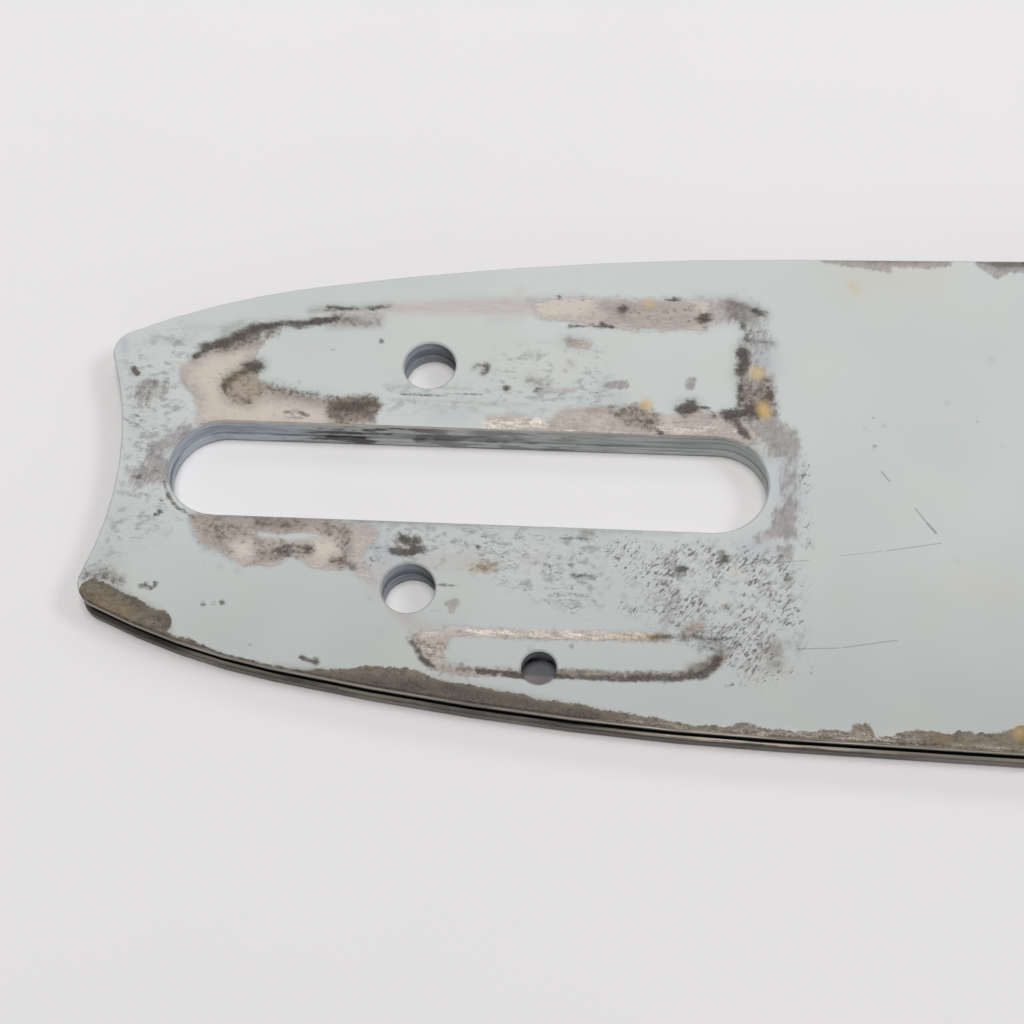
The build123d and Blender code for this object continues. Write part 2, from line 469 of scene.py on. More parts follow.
def distance_to_run(places, start, end):
    """How far each place is from a straight run between two points."""
    along = np.subtract(end, start)
    length = max(along @ along, 1e-9)
    share = np.clip((places - start) @ along / length, 0.0, 1.0)
    return np.linalg.norm(places - start - share[:, None] * along, axis=1)


def distance_to_line(places, corners):
    """How far each place is from a line with corners, or from a single spot."""
    ends = corners[1:] if len(corners) > 1 else corners
    runs = [distance_to_run(places, start, end) for start, end in zip(corners, ends)]
    return np.min(runs, axis=0)


def inside_outline(places, corners):
    """True for each place inside a closed outline, by counting the sides to its right."""
    inside = np.zeros(len(places), bool)
    for (x0, y0), (x1, y1) in zip(corners, corners[1:] + corners[:1]):
        spans = (y0 > places[:, 1]) != (y1 > places[:, 1])
        rise = y1 - y0 if y1 != y0 else 1e-9
        crossing = x0 + (places[:, 1] - y0) * (x1 - x0) / rise
        inside ^= spans & (places[:, 0] < crossing)
    return inside


def lay(wear, layer, field, strength):
    """Adds a field to a layer. A negative strength wipes the layer there instead."""
    if strength < 0:
        wear[layer] *= 1.0 + field * strength
    else:
        wear[layer] = np.maximum(wear[layer], field * strength)


def stroke(wear, places, layer, strength, half_width, corners):
    """Lays wear along a line with corners, or round a single spot."""
    reach = distance_to_line(places, corners) / half_width
    lay(wear, layer, np.clip(1.0 - 0.5 * reach, 0.0, 1.0), strength)


def patch(wear, places, layer, strength, feather, corners):
    """Lays wear inside an outline, soft over the feather's width."""
    depth = distance_to_line(places, corners + corners[:1])
    depth = np.where(inside_outline(places, corners), depth, -depth)
    lay(wear, layer, np.clip(0.5 + 0.5 * depth / feather, 0.0, 1.0), strength)


upper_wear = no_wear()


def wear_from_pixels(brush, groups):
    """Lays marks on the upper plate. Each has its strength, its width and its corners in pixels."""
    count = 0
    for layer, marks in groups:
        for strength, width, *pixels in marks:
            corners = [plate_point(pixel) for pixel in pixels]
            brush(upper_wear, plate_places, layer, strength, width / PIXELS_PER_MM, corners)
        count += len(marks)
    print(count, "marks laid by", brush.__name__)


# %% [markdown]
# First come the large areas. Clamping the bar to the saw has rubbed the paint off round the slot
# in ragged bands, and the chain has worn the near rail and the lower horn to brown steel. Each
# outline below was read off the photograph.

# %% Large worn areas
pale_left = [(232, 544), (250, 541), (253, 556), (238, 558)]
pale_right = [(312, 541), (334, 538), (340, 552), (324, 560), (314, 556)]
kept_paint = [(250, 531), (282, 533), (300, 532), (319, 533), (320, 538), (290, 541), (262, 538)]
large_patches = [
    # steel bared above the tail end of the slot, running into a band along its far edge
    ("bare", [(1.0, 6, (181, 366), (196, 357), (216, 350), (242, 345), (266, 338), (273, 331),
         (262, 345), (255, 352), (253, 364), (258, 376), (265, 385), (278, 391), (303, 396), (330, 400),
         (346, 405), (346, 428), (250, 427), (196, 425), (198, 407), (191, 393), (180, 381))]),
    ("haze", [(0.9, 10, (190, 372), (216, 354), (244, 350), (250, 360), (232, 370), (218, 386),
         (232, 406), (262, 404), (300, 406), (326, 412), (326, 424), (200, 422), (203, 400))]),
    ("stain", [(0.6, 8, (222, 372), (240, 366), (256, 362), (262, 380), (272, 392), (254, 404),
         (232, 404), (220, 392))]),
    # band along the slot's far edge on the right
    ("bare", [(0.92, 6, (486, 417), (512, 414), (540, 417), (550, 419), (561, 409), (600, 406),
         (655, 411), (668, 416), (700, 411), (738, 414), (752, 428), (760, 445), (720, 442), (662, 441),
         (600, 438), (486, 434))]),
    ("stain", [(0.72, 6, (606, 406), (640, 403), (658, 410), (664, 428), (646, 434), (620, 424))]),
    # rubbed band that crosses the plate behind the slot
    ("haze", [(1.0, 5, (384, 304), (459, 299), (540, 296), (540, 316), (459, 314), (384, 313)),
        (0.9, 6, (528, 298), (576, 294), (596, 300), (588, 316), (540, 317)),
        (0.8, 7, (695, 297), (735, 299), (737, 318), (712, 328), (695, 328))]),
    ("bare", [(0.78, 9, (528, 300), (600, 297), (673, 298), (712, 300), (708, 331), (640, 332),
         (592, 327), (540, 319))]),
    ("stain", [(0.36, 6, (610, 300), (706, 302), (704, 328), (640, 330), (600, 322))]),
    # steel bared in front of the slot
    ("bare", [(0.62, 8, (320, 517), (384, 520), (380, 540), (366, 556), (379, 583), (362, 581),
         (345, 571), (320, 566)),
        (0.95, 7, (187, 515), (250, 515), (330, 517), (336, 535), (332, 556), (345, 571), (332, 569),
         (311, 568), (301, 560), (292, 552), (282, 562), (268, 566), (242, 565), (234, 559), (222, 553),
         (204, 546), (194, 536))]),
    ("stain", [(0.55, 6, (192, 520), (240, 519), (250, 530), (244, 540), (215, 545), (197, 534)),
        (0.72, 5, (252, 517), (306, 518), (306, 531), (256, 530)),
        (0.66, 6, (240, 552), (262, 546), (290, 540), (318, 541), (316, 562), (300, 560), (284, 562),
         (250, 566)),
        (0.66, 6, (318, 520), (354, 522), (352, 560), (344, 572), (322, 566)),
        (0.47, 6, (190, 516), (330, 518), (330, 568), (300, 558), (250, 566), (200, 544)),
        (-0.85, 7, *pale_left), (-0.85, 7, *pale_right)]),
    ("haze", [(0.5, 8, (268, 545), (330, 540), (330, 566), (300, 560)),
        (0.9, 7, *pale_left), (0.9, 7, *pale_right)]),
    # the clamping pad's rub mark, where it turns back left of the oil hole
    ("bare", [(0.85, 6, (411, 635), (424, 631), (455, 629), (450, 640), (444, 652), (447, 664),
         (473, 667), (473, 677), (440, 674), (426, 664), (413, 645))]),
    ("stain", [(0.6, 6, (414, 632), (450, 632), (446, 652), (447, 668), (440, 674), (424, 660))]),
    ("haze", [(0.8, 6, (388, 610), (404, 608), (420, 620), (410, 628), (400, 622)),
        (0.5, 5, (440, 622), (466, 624), (462, 632), (444, 634)),
        (0.6, 6, (396, 612), (420, 618), (446, 630), (448, 644), (430, 640), (410, 630))]),
    # brown steel on the lower horn
    ("rail", [(1.0, 5, (73, 592), (82, 581), (94, 577), (113, 586), (123, 593), (139, 599), (151, 607),
         (168, 612), (172, 622), (168, 632), (195, 641), (215, 650), (215, 670), (139, 650), (100, 634),
         (75, 610))]),
    # near rail, from the tail's thin line to the wide band and on to the right
    ("rail", [(1.0, 5, (190, 643), (242, 658), (277, 666), (304, 671), (320, 668), (330, 669),
         (356, 667), (364, 665), (387, 667), (416, 669), (433, 678), (454, 682), (485, 687), (502, 691),
         (525, 694), (537, 699), (562, 702), (588, 705), (599, 709), (624, 713), (650, 716), (667, 720),
         (693, 725), (731, 727), (735, 722), (752, 723), (755, 727), (779, 729), (797, 732), (810, 732),
         (828, 729), (848, 732), (853, 726), (858, 723), (869, 723), (875, 737), (892, 737), (900, 732),
         (914, 729), (935, 730), (950, 734), (961, 731), (983, 734), (1005, 731), (1013, 728),
         (1040, 722), (1040, 790), (600, 745), (300, 700), (190, 665))]),
    ("grime", [(0.56, 5, (300, 674), (430, 680), (520, 697), (610, 714), (610, 735), (300, 696))]),
    ("film", [(0.9, 6, (240, 661), (330, 670), (430, 678), (520, 694), (620, 714), (620, 735),
         (300, 692), (240, 674))]),
    # chips out of the paint along the far edge
    ("scuff", [(1.3, 4, (820, 255), (822, 262), (850, 266), (868, 269), (889, 272), (893, 266),
         (900, 267), (925, 268), (950, 265), (950, 255)),
        (1.3, 4, (973, 255), (975, 264), (986, 271), (998, 279), (1008, 272), (1040, 273),
         (1040, 255))]),
    ("film", [(0.75, 4, (818, 252), (820, 260), (850, 262), (890, 264), (950, 263), (950, 252)),
        (0.75, 4, (972, 252), (975, 263), (998, 270), (1040, 268), (1040, 252))]),
    # scuffed paint behind and right of the slot
    ("film", [(0.62, 8, (718, 298), (756, 302), (767, 311), (766, 322), (740, 330), (722, 314)),
        (0.3, 8, (740, 322), (770, 330), (774, 366), (778, 424), (742, 424)),
        (0.32, 7, (746, 424), (772, 420), (797, 430), (800, 452), (776, 456), (764, 446)),
        (0.3, 6, (776, 508), (796, 506), (797, 540), (776, 536))]),
    ("scuff", [(0.48, 8, (722, 298), (756, 302), (767, 311), (766, 322), (773, 345), (774, 366),
         (778, 400), (778, 424), (740, 424), (737, 380), (735, 350), (737, 322)),
        (1.1, 7, (740, 376), (774, 374), (778, 424), (744, 426)),
        (1.0, 7, (744, 424), (772, 420), (797, 430), (800, 442), (799, 458), (772, 458), (764, 446)),
        (0.6, 6, (777, 456), (801, 456), (802, 512), (779, 512)),
        (0.95, 6, (774, 508), (797, 506), (797, 540), (776, 538), (754, 544), (752, 536), (770, 528)),
        (0.75, 5, (776, 546), (796, 542), (794, 563), (776, 560))]),
    ("stain", [(0.8, 7, (740, 378), (772, 376), (776, 410), (760, 424), (744, 420))]),
    # scuffs by the tail and along the slot's near edge
    ("smudge", [(0.8, 14, (124, 352), (182, 326), (200, 350), (178, 372), (196, 410), (190, 428),
         (168, 450), (164, 500), (190, 520), (150, 540), (112, 560), (98, 540), (116, 500), (126, 430)),
        (0.9, 10, (362, 522), (480, 524), (600, 531), (600, 610), (540, 600), (470, 570), (400, 566),
         (362, 560)),
        (0.7, 12, (500, 348), (600, 345), (612, 400), (540, 412), (486, 400)),
        (0.55, 8, (384, 384), (540, 384), (540, 412), (384, 414))]),
    ("film", [(0.2, 12, (126, 376), (172, 372), (176, 400), (162, 450), (130, 452), (126, 410)),
        (0.55, 5, (326, 314), (384, 314), (380, 328), (326, 329))]),
    ("scuff", [(0.72, 6, (124, 465), (150, 462), (164, 460), (166, 482), (150, 486), (127, 488)),
        (0.62, 6, (132, 380), (146, 377), (168, 379), (170, 392), (156, 404), (134, 405)),
        (0.62, 7, (700, 298), (740, 300), (745, 322), (712, 328))]),
    ("haze", [(0.6, 9, (360, 562), (396, 566), (430, 556), (476, 554), (470, 568), (440, 566),
         (400, 574), (380, 600), (366, 584)),
        (0.75, 5, (326, 310), (388, 308), (385, 327), (326, 329))]),
    ("stain", [(0.45, 5, (326, 311), (386, 310), (380, 328), (326, 329))]),
    # brown grime at the end of the far band
    ("bare", [(0.9, 5, (326, 399), (345, 396), (365, 395), (377, 398), (383, 404), (379, 412),
         (376, 424), (326, 426))]),
    ("stain", [(1.0, 6, (326, 399), (345, 396), (365, 395), (377, 398), (385, 404), (379, 412),
         (374, 421), (352, 423), (336, 425), (326, 415))]),
    ("film", [(0.72, 6, (328, 399), (376, 397), (380, 407), (366, 416), (330, 415))]),
    ("grime", [(0.56, 6, (328, 400), (376, 398), (378, 408), (360, 416), (332, 414))]),
    # paint that stays in the bare patch in front of the slot
    ("bare", [(-0.85, 4, *kept_paint)]),
    ("stain", [(-0.85, 4, *kept_paint)]),
    # speckled field between the slot and the rub mark
    ("speckle", [(0.66, 14, (596, 540), (640, 532), (735, 545), (796, 552), (808, 600), (806, 640),
         (798, 672), (765, 686), (735, 688), (716, 655), (640, 622), (596, 600)),
        (0.5, 10, (470, 528), (600, 532), (600, 620), (545, 610), (470, 560)),
        (-0.3, 12, (590, 556), (650, 558), (660, 616), (596, 604))]),
    ("smudge", [(0.6, 12, (620, 540), (735, 545), (796, 552), (806, 640), (770, 680), (640, 622))]),
]
wear_from_pixels(patch, large_patches)

# %% [markdown]
# Next come the marks that run in lines: the dark greasy streak over the tail, the pad's rub mark
# round the oil hole, dark lips at the slot's edge, most of them painted shade of the rim, and the
# bright line where the chain polishes the rail, painted partly as a highlight.

# %% Streaks and bands
streaks = [
    # greasy streak over the tail
    ("film", [(0.9, 4.5, (194, 357), (204, 351)), (0.95, 6.5, (204, 351), (224, 343)),
        (1.0, 9.5, (224, 343), (240, 336), (254, 331)), (0.95, 7, (254, 331), (275, 325)),
        (0.9, 4.5, (275, 325), (300, 323), (334, 320)), (0.6, 6, (224, 330), (242, 324)),
        (0.7, 6, (278, 323), (298, 323))]),
    ("stain", [(0.75, 8, (222, 348), (246, 343), (262, 337), (274, 331))]),
    ("grime", [(0.8, 4, (194, 357), (208, 349), (222, 343)), (0.85, 6, (206, 347), (224, 341)),
        (0.72, 8, (222, 343), (241, 335), (256, 329)), (0.8, 5, (256, 327), (277, 324), (311, 323)),
        (0.9, 4.5, (311, 323), (328, 320), (337, 319))]),
    # a curl of grime inside the bare patch
    ("film", [(0.95, 8.5, (250, 366), (258, 366)), (0.75, 6, (246, 371), (234, 376), (226, 384)),
        (0.5, 6, (225, 385), (226, 393), (234, 400), (252, 404)),
        (0.45, 8, (262, 384), (290, 393), (318, 398), (345, 404))]),
    ("grime", [(0.8, 7, (250, 367), (257, 368)), (0.62, 4.5, (247, 372), (234, 377), (224, 386)),
        (0.48, 4, (224, 388), (229, 397), (250, 403)),
        (0.5, 3.5, (268, 389), (285, 392), (303, 393), (330, 396)),
        (0.6, 2.5, (284, 413), (296, 411), (308, 415), (297, 418), (285, 416)),
        (0.55, 2.5, (250, 424), (345, 425))]),
    ("stain", [(0.62, 8, (266, 386), (300, 396), (345, 406))]),
    # grime on the band behind the slot
    ("film", [(0.6, 5, (312, 311), (330, 308), (357, 309), (388, 306))]),
    ("grime", [(0.72, 3.5, (328, 308), (357, 309)), (0.72, 3.5, (370, 308), (390, 306)),
        (0.85, 2.5, (569, 326), (593, 325)), (0.75, 2.2, (590, 325), (612, 327)),
        (0.7, 2.2, (666, 300), (681, 299))]),
    ("haze", [(0.5, 5, (456, 299), (486, 299)), (0.45, 4, (489, 319), (520, 319))]),
    # the band that runs to the right of the slot
    ("film", [(0.8, 6.5, (730, 302), (748, 308), (764, 316)), (0.75, 4, (745, 340), (772, 343)),
        (0.55, 6, (742, 343), (773, 343)), (0.8, 9, (743, 350), (745, 362), (741, 373)),
        (0.7, 6, (740, 384), (742, 406), (736, 416)), (0.8, 8, (728, 416), (742, 414), (752, 408)),
        (0.55, 8, (746, 446), (763, 457)), (0.3, 8, (603, 394), (620, 400)),
        (0.45, 4, (590, 408), (650, 406))]),
    ("grime", [(0.62, 5, (756, 311), (764, 317)), (0.6, 3, (741, 322), (752, 346)),
        (0.9, 6, (741, 352), (744, 362), (740, 371)), (0.75, 4, (740, 384), (740, 406)),
        (0.75, 3.5, (769, 389), (771, 405)), (1.0, 7, (728, 416), (742, 413), (750, 409)),
        (0.85, 4.5, (736, 423), (747, 436)), (0.7, 2.5, (693, 405), (709, 408)),
        (0.55, 3.5, (612, 412), (625, 420), (650, 421), (658, 430))]),
    # dark lips at the slot's edge: at its left end and along its near edge they are painted shade of
    # the rim
    ("grime", [(1.0, 2.6, (600, 440), (645, 440), (662, 434)),
        (0.7, 2.2, (164, 482), (169, 498), (178, 508), (191, 515))]),
    ("film", [(0.6, 4, (191, 516), (340, 520), (480, 525)),
        (0.4, 3, (480, 525), (600, 531), (680, 534))]),
    # grime in front of the slot
    ("grime", [(0.72, 5.5, (281, 551), (300, 549), (311, 548)), (0.36, 8, (199, 527), (229, 531)),
        (0.5, 6, (338, 538), (350, 548)), (0.6, 5, (333, 560), (356, 566)),
        (0.66, 7, (402, 538), (416, 541)), (0.8, 5, (392, 550), (408, 553), (422, 549)),
        (0.7, 3, (561, 538), (586, 538)), (0.62, 3, (574, 576), (594, 578)),
        (0.55, 2, (435, 584), (463, 585)), (0.5, 1.6, (426, 609), (440, 611))]),
    ("haze", [(0.6, 4, (524, 560), (542, 560))]),
    # the clamping pad's rub mark round the oil hole
    ("bare", [(0.95, 5.2, (452, 632), (490, 632), (536, 635), (600, 636), (666, 637)),
        (0.85, 5, (462, 671), (521, 673)), (0.75, 6, (716, 668), (724, 655)),
        (0.7, 8, (684, 630), (700, 626)), (0.9, 3, (529, 679), (540, 683), (551, 679))]),
    ("grime", [(0.9, 3.2, (411, 641), (417, 650), (424, 661), (434, 668)),
        (1.2, 3, (478, 671), (496, 673)), (1.3, 3, (504, 674), (522, 676)),
        (1.05, 2.8, (556, 676), (600, 678), (635, 680)),
        (0.85, 4.2, (632, 677), (673, 679), (697, 676)),
        (1.05, 4.4, (700, 676), (709, 670), (717, 661)), (0.6, 4.5, (664, 637), (690, 637), (722, 640)),
        (0.55, 6, (700, 650), (722, 648))]),
    ("stain", [(0.8, 4.5, (452, 668), (521, 674)),
        (1.3, 4.2, (556, 673), (600, 675), (672, 676), (697, 673), (722, 656)),
        (0.6, 6, (716, 668), (724, 655)), (0.6, 8, (684, 630), (700, 626))]),
    ("film", [(0.7, 5, (690, 668), (706, 662), (722, 650))]),
    # polished steel along the rail and at the slot's edge, drawn bright partly as a painted highlight
    ("shine", [(0.9, 4, (745, 738), (800, 742)),
        (0.4, 3, (240, 661), (330, 678), (467, 702), (600, 722), (690, 731)),
        (0.4, 3, (954, 750), (1000, 752), (1030, 754)),
        (0.7, 2.5, (84, 606), (100, 619), (140, 634), (170, 643), (240, 663)),
        (0.75, 5, (488, 424), (540, 423)), (0.75, 2.5, (560, 432), (640, 436)),
        (0.5, 4, (660, 428), (735, 430)), (0.75, 3, (470, 631), (600, 636)),
        (0.35, 6, (424, 640), (438, 656))]),
    ("stain", [(0.45, 5, (440, 631), (536, 635), (600, 637)),
        (0.56, 9, (418, 640), (428, 652), (440, 668), (470, 673))]),
    # paler steel along the right part of the rail, drawn partly as a painted highlight
    ("shine", [(0.28, 7, (700, 736), (850, 740), (910, 742))]),
    ("grime", [(0.9, 2.5, (908, 747), (930, 746), (955, 748)), (0.62, 5, (384, 684), (406, 689))]),
    # long thin line behind the slot
    ("grime", [(0.72, 1.7, (402, 394), (440, 395), (482, 394)), (0.5, 1.5, (387, 388), (404, 388))]),
    ("film", [(0.45, 1.8, (390, 386), (470, 389)), (0.4, 1.8, (400, 401), (500, 402)),
        (0.4, 1.8, (420, 408), (530, 404))]),
    # rubs by the tail
    ("film", [(0.35, 5, (156, 340), (191, 341)), (0.3, 4, (187, 329), (203, 327), (221, 329)),
        (0.35, 9, (156, 462), (166, 476)), (0.5, 7, (88, 573), (104, 573), (120, 580)),
        (0.28, 10, (102, 556), (114, 564))]),
    ("scuff", [(1.0, 8, (156, 450), (166, 444), (184, 430)), (1.3, 8, (154, 460), (166, 474))]),
    ("blue", [(0.4, 9, (158, 452), (184, 430))]),
    ("stain", [(0.75, 8, (88, 575), (104, 575), (120, 583))]),
    ("smudge", [(0.9, 12, (102, 540), (98, 566))]),
    # dark border of the brown horn
    ("film", [(0.6, 4, (94, 579), (113, 588), (139, 601), (164, 614), (169, 630)),
        (0.5, 4, (76, 596), (84, 612), (106, 628), (140, 643))]),
    # paint left on the horn's edge
    ("rail", [(-1.0, 2.5, (84, 574), (76, 588), (76, 602), (86, 614))]),
    # paint rubbed to a bluish tint; the first mark, at the horn's tip, is painted bluish shade
    ("blue", [(0.8, 4, (124, 341), (125, 351)), (0.5, 14, (760, 352), (768, 362)),
        (0.55, 14, (784, 462), (788, 505)), (0.5, 12, (752, 548), (768, 546)),
        (0.4, 14, (690, 305), (735, 308)), (0.5, 12, (366, 540), (388, 556), (400, 560)),
        (0.4, 7, (436, 416), (462, 416)), (0.45, 3, (191, 362), (180, 372), (184, 384), (194, 396)),
        (0.45, 3, (192, 522), (196, 538), (210, 550), (232, 560))]),
]
wear_from_pixels(stroke, streaks)

# %% [markdown]
# Last come single spots: dots of grime, the yellow rust spots, a rubbed oval that may sit over a
# spot weld, and the small nicks that any old bar collects.

# %% Spots
spots = [
    ("grime", [(1.0, 3, (134, 369)), (1.0, 3, (137, 373)), (0.62, 4.5, (154, 385)),
        (0.66, 5, (166, 382)), (0.55, 4.5, (163, 394)), (0.55, 4.5, (148, 392)), (0.68, 5, (139, 477)),
        (0.55, 4, (155, 470)), (1.0, 5, (624, 309)), (1.0, 5, (702, 319), (706, 318)),
        (0.7, 3, (705, 327)), (0.9, 4, (602, 324)), (0.7, 2.8, (559, 297)), (0.75, 3.2, (583, 299)),
        (0.9, 4.5, (334, 319)), (1.0, 7, (684, 409), (692, 406)), (0.75, 3.5, (714, 416)),
        (0.85, 7, (723, 557)), (0.85, 5, (678, 571), (684, 569)), (0.6, 5, (703, 618)),
        (0.95, 2.6, (302, 657)), (0.95, 4.2, (316, 661)), (0.9, 1.8, (304, 659), (314, 661)),
        (0.85, 4, (507, 389)), (0.72, 5, (537, 389)), (0.6, 2.8, (487, 392)), (0.62, 3.2, (381, 342)),
        (0.6, 2.4, (333, 350)), (0.7, 2.6, (299, 381)), (0.62, 3.4, (487, 366), (486, 371)),
        (0.85, 2.8, (571, 645)), (0.6, 2.4, (459, 316)), (0.55, 3, (457, 369)), (0.8, 2, (873, 418)),
        (0.8, 2, (874, 447)), (0.8, 2, (978, 422)), (0.95, 2.9, (203, 603)), (0.95, 2.9, (213, 603)),
        (0.95, 2.9, (222, 603)), (0.6, 2, (249, 645)), (0.8, 2, (146, 495)), (0.85, 2.2, (160, 511)),
        (0.8, 2.2, (156, 515)), (0.7, 2, (161, 500)), (0.75, 2, (160, 534)), (0.6, 2, (204, 563)),
        (0.95, 2.9, (141, 586)), (0.95, 2.9, (146, 584)), (0.95, 2.9, (151, 588)),
        (0.95, 2.9, (155, 584)), (0.7, 2.6, (466, 544)), (0.8, 3, (478, 547)), (0.6, 3, (504, 545)),
        (0.7, 2.8, (571, 566)), (0.6, 2.2, (587, 620)), (0.6, 2, (811, 667)), (0.6, 2, (811, 674)),
        (0.8, 2.2, (727, 686)), (0.75, 2, (732, 684)), (0.5, 5, (640, 637), (664, 638))]),
    ("film", [(0.9, 6, (624, 308), (622, 311)), (0.9, 6, (701, 319), (707, 318)), (0.7, 8, (762, 315)),
        (0.85, 9, (684, 408), (692, 406)), (0.75, 5, (584, 532), (592, 533)),
        (0.8, 2.6, (473, 369), (477, 365), (482, 366)), (0.9, 3.6, (486, 365), (487, 370), (483, 373)),
        (0.5, 3, (530, 649)), (0.5, 2.4, (947, 403)), (0.5, 2, (884, 426)), (0.5, 2, (865, 429)),
        (0.4, 3.5, (991, 361)), (0.4, 2, (1003, 446)), (0.5, 3, (115, 523)), (0.5, 3, (204, 550)),
        (0.5, 3, (220, 566)), (0.5, 3, (237, 570)), (0.5, 2.4, (369, 598)), (0.5, 2, (380, 630)),
        (0.5, 2, (957, 561)), (0.6, 4.5, (787, 583), (790, 578)), (0.65, 7, (770, 667), (778, 664)),
        (0.5, 5, (788, 643)), (0.35, 9, (566, 340), (580, 342)),
        (0.55, 2.4, (521, 357), (526, 354), (533, 358), (539, 352)), (0.55, 5, (256, 523), (292, 527)),
        (0.6, 4, (545, 388)), (0.6, 6, (530, 380), (546, 386))]),
    ("scuff", [(1.2, 3.6, (449, 604), (456, 602), (452, 610)), (1.2, 9, (772, 650)),
        (1.2, 4, (610, 385), (625, 385)), (1.2, 4.5, (689, 386), (691, 381))]),
    ("stain", [(0.45, 6, (566, 340), (576, 341)), (0.9, 5, (727, 607)),
        (0.8, 6, (474, 568), (492, 567)), (0.62, 5, (495, 558)), (0.55, 5.5, (598, 637), (664, 638)),
        (0.5, 5, (149, 406)), (0.78, 10, (402, 541), (414, 547)), (0.5, 10, (138, 388), (142, 398))]),
    ("bare", [(0.9, 6, (570, 342), (586, 345)), (0.62, 3.5, (547, 391), (574, 390)),
        (0.8, 3, (161, 476))]),
    ("shine", [(0.5, 3, (580, 345), (587, 346)), (0.4, 3.5, (600, 636), (650, 637))]),
    ("haze", [(0.45, 6, (520, 291)), (0.5, 5, (571, 365))]),
    ("rust", [(1.0, 6, (757, 373)), (1.0, 5, (763, 407), (765, 413)), (0.9, 5, (646, 404)),
        (0.5, 5, (650, 303)), (0.4, 3.5, (735, 573)), (0.2, 7, (474, 567), (488, 566)),
        (0.4, 7, (854, 288)), (0.5, 6, (1020, 732)), (0.16, 4, (612, 636), (654, 637)),
        (0.12, 16, (965, 580), (1006, 592)), (0.09, 9, (92, 600), (124, 611)),
        (0.12, 24, (850, 276), (930, 280)), (0.12, 12, (238, 384), (250, 392))]),
    ("speckle", [(0.82, 16, (664, 584), (702, 604)), (0.85, 16, (770, 650), (782, 662)),
        (0.7, 6, (804, 462), (808, 548)), (0.6, 10, (594, 384), (597, 400)),
        (0.6, 12, (176, 427), (192, 428)), (0.55, 16, (136, 420), (150, 452)),
        (0.55, 12, (158, 490), (160, 514)), (0.5, 14, (748, 300), (760, 330)),
        (0.6, 14, (620, 545), (700, 560)), (0.6, 12, (380, 545), (370, 560))]),
]
wear_from_pixels(stroke, spots)

# %% [markdown]
# Past the photograph's edge nothing is known, so the bar goes on plainly: the rail keeps its
# brown band, a little wider where the chain turns round the nose. How far a point lies from the
# plate's edge follows from the outline's own height at that place along the bar.

# %% The rest of the rail
RAIL_STATIONS = (64.0, 110.0, 330.0, 400.0)
NEAR_RAIL_WIDTHS = (3.2, 1.6, 1.6, 4.0)
FAR_RAIL_WIDTHS = (0.5, 0.5, 0.5, 4.0)
WEAR_FEATHER = 0.7
RAIL_OVERLAP = 4.0


def edge_distance(places):
    """How far each place is inside the near edge and the far edge, or inside the nose's rim."""
    stations = np.arange(FINE_END - RAIL_OVERLAP, NOSE_AXIS + RAIL_OVERLAP, COARSE_SPACING)
    near_edge = []
    far_edge = []
    for station in stations:
        close = np.abs(plate_places[:, 0] - station) < COARSE_SPACING
        near_edge.append(plate_places[close, 1].min())
        far_edge.append(plate_places[close, 1].max())
    near = places[:, 1] - np.interp(places[:, 0], stations, near_edge)
    far = np.interp(places[:, 0], stations, far_edge) - places[:, 1]
    tip = NOSE_RADIUS - np.hypot(places[:, 0] - NOSE_AXIS, places[:, 1])
    on_nose = places[:, 0] > NOSE_AXIS
    return np.where(on_nose, tip, near), np.where(on_nose, tip, far)


near_depth, far_depth = edge_distance(plate_places)
beyond = plate_places[:, 0] > FINE_END - RAIL_OVERLAP
for depth, widths in ((near_depth, NEAR_RAIL_WIDTHS), (far_depth, FAR_RAIL_WIDTHS)):
    width = np.interp(plate_places[:, 0], RAIL_STATIONS, widths)
    band = np.clip(0.5 + 0.5 * (width - depth) / WEAR_FEATHER, 0.0, 1.0)
    lay(upper_wear, "rail", np.where(beyond, band, 0.0), 1.0)
print("rail wear carried on to the nose")

# %% [markdown]
# The fields go onto the mesh as three colour attributes, four layers in each, and the faces are
# sorted into what they are on the real plate: painted face with its broken edge, slot and hole
# walls, the outer rail, and the inner face that shows in the chain groove.

# %% Put the fields on the mesh
FACE, INNER_WALL, OUTER_RAIL, GROOVE = range(4)
WEAR_ATTRIBUTES = {"wear_first": LAYERS[:4], "wear_second": LAYERS[4:8], "wear_third": LAYERS[8:]}
SMOOTH_ANGLE = math.radians(30)


def store_wear(piece, wear):
    """Writes the wear fields to the mesh as colour attributes."""
    for name, layers in WEAR_ATTRIBUTES.items():
        attribute = piece.data.attributes.new(name, "FLOAT_COLOR", "POINT")
        values = np.stack([wear[layer] for layer in layers], axis=1)
        attribute.data.foreach_set("color", values.astype(np.float32).ravel())


def sort_faces(piece, outward):
    """Gives each face the number of its finish. The painted face looks up for 1, down for -1."""
    facing = triples(piece.data.polygons, "normal")[:, 2] * outward
    inner = in_opening(triples(piece.data.polygons, "center") / MM)
    finish = np.where(inner, INNER_WALL, OUTER_RAIL)
    finish[facing > UPRIGHT_FACE] = FACE
    finish[(facing < -LEVEL_FACE) & ~inner] = GROOVE
    piece.data.polygons.foreach_set("material_index", finish.astype(np.int32))
    return np.bincount(finish, minlength=4)


def smooth(piece):
    """Smooths the shading over rounded walls and keeps the real edges sharp."""
    pick(piece)
    bpy.ops.object.shade_smooth_by_angle(angle=SMOOTH_ANGLE)


def dress_plate(piece, wear, finishes, outward):
    """Gives a ruled plate its wear fields and its finishes, and smooths its round walls."""
    store_wear(piece, wear)
    piece.data.materials.clear()
    for finish in finishes:
        piece.data.materials.append(finish)
    counts = sort_faces(piece, outward)
    smooth(piece)
    print(piece.name, "faces by finish:", counts.tolist())


print("plates can be dressed")

# %% [markdown]
# Three tones come first, since the worn paint is made of them. The paint is pale grey-green with
# clouds, smudges and rubs. The steel that shows through it is beige and mottled, and the rail's
# steel is brown with flecks.

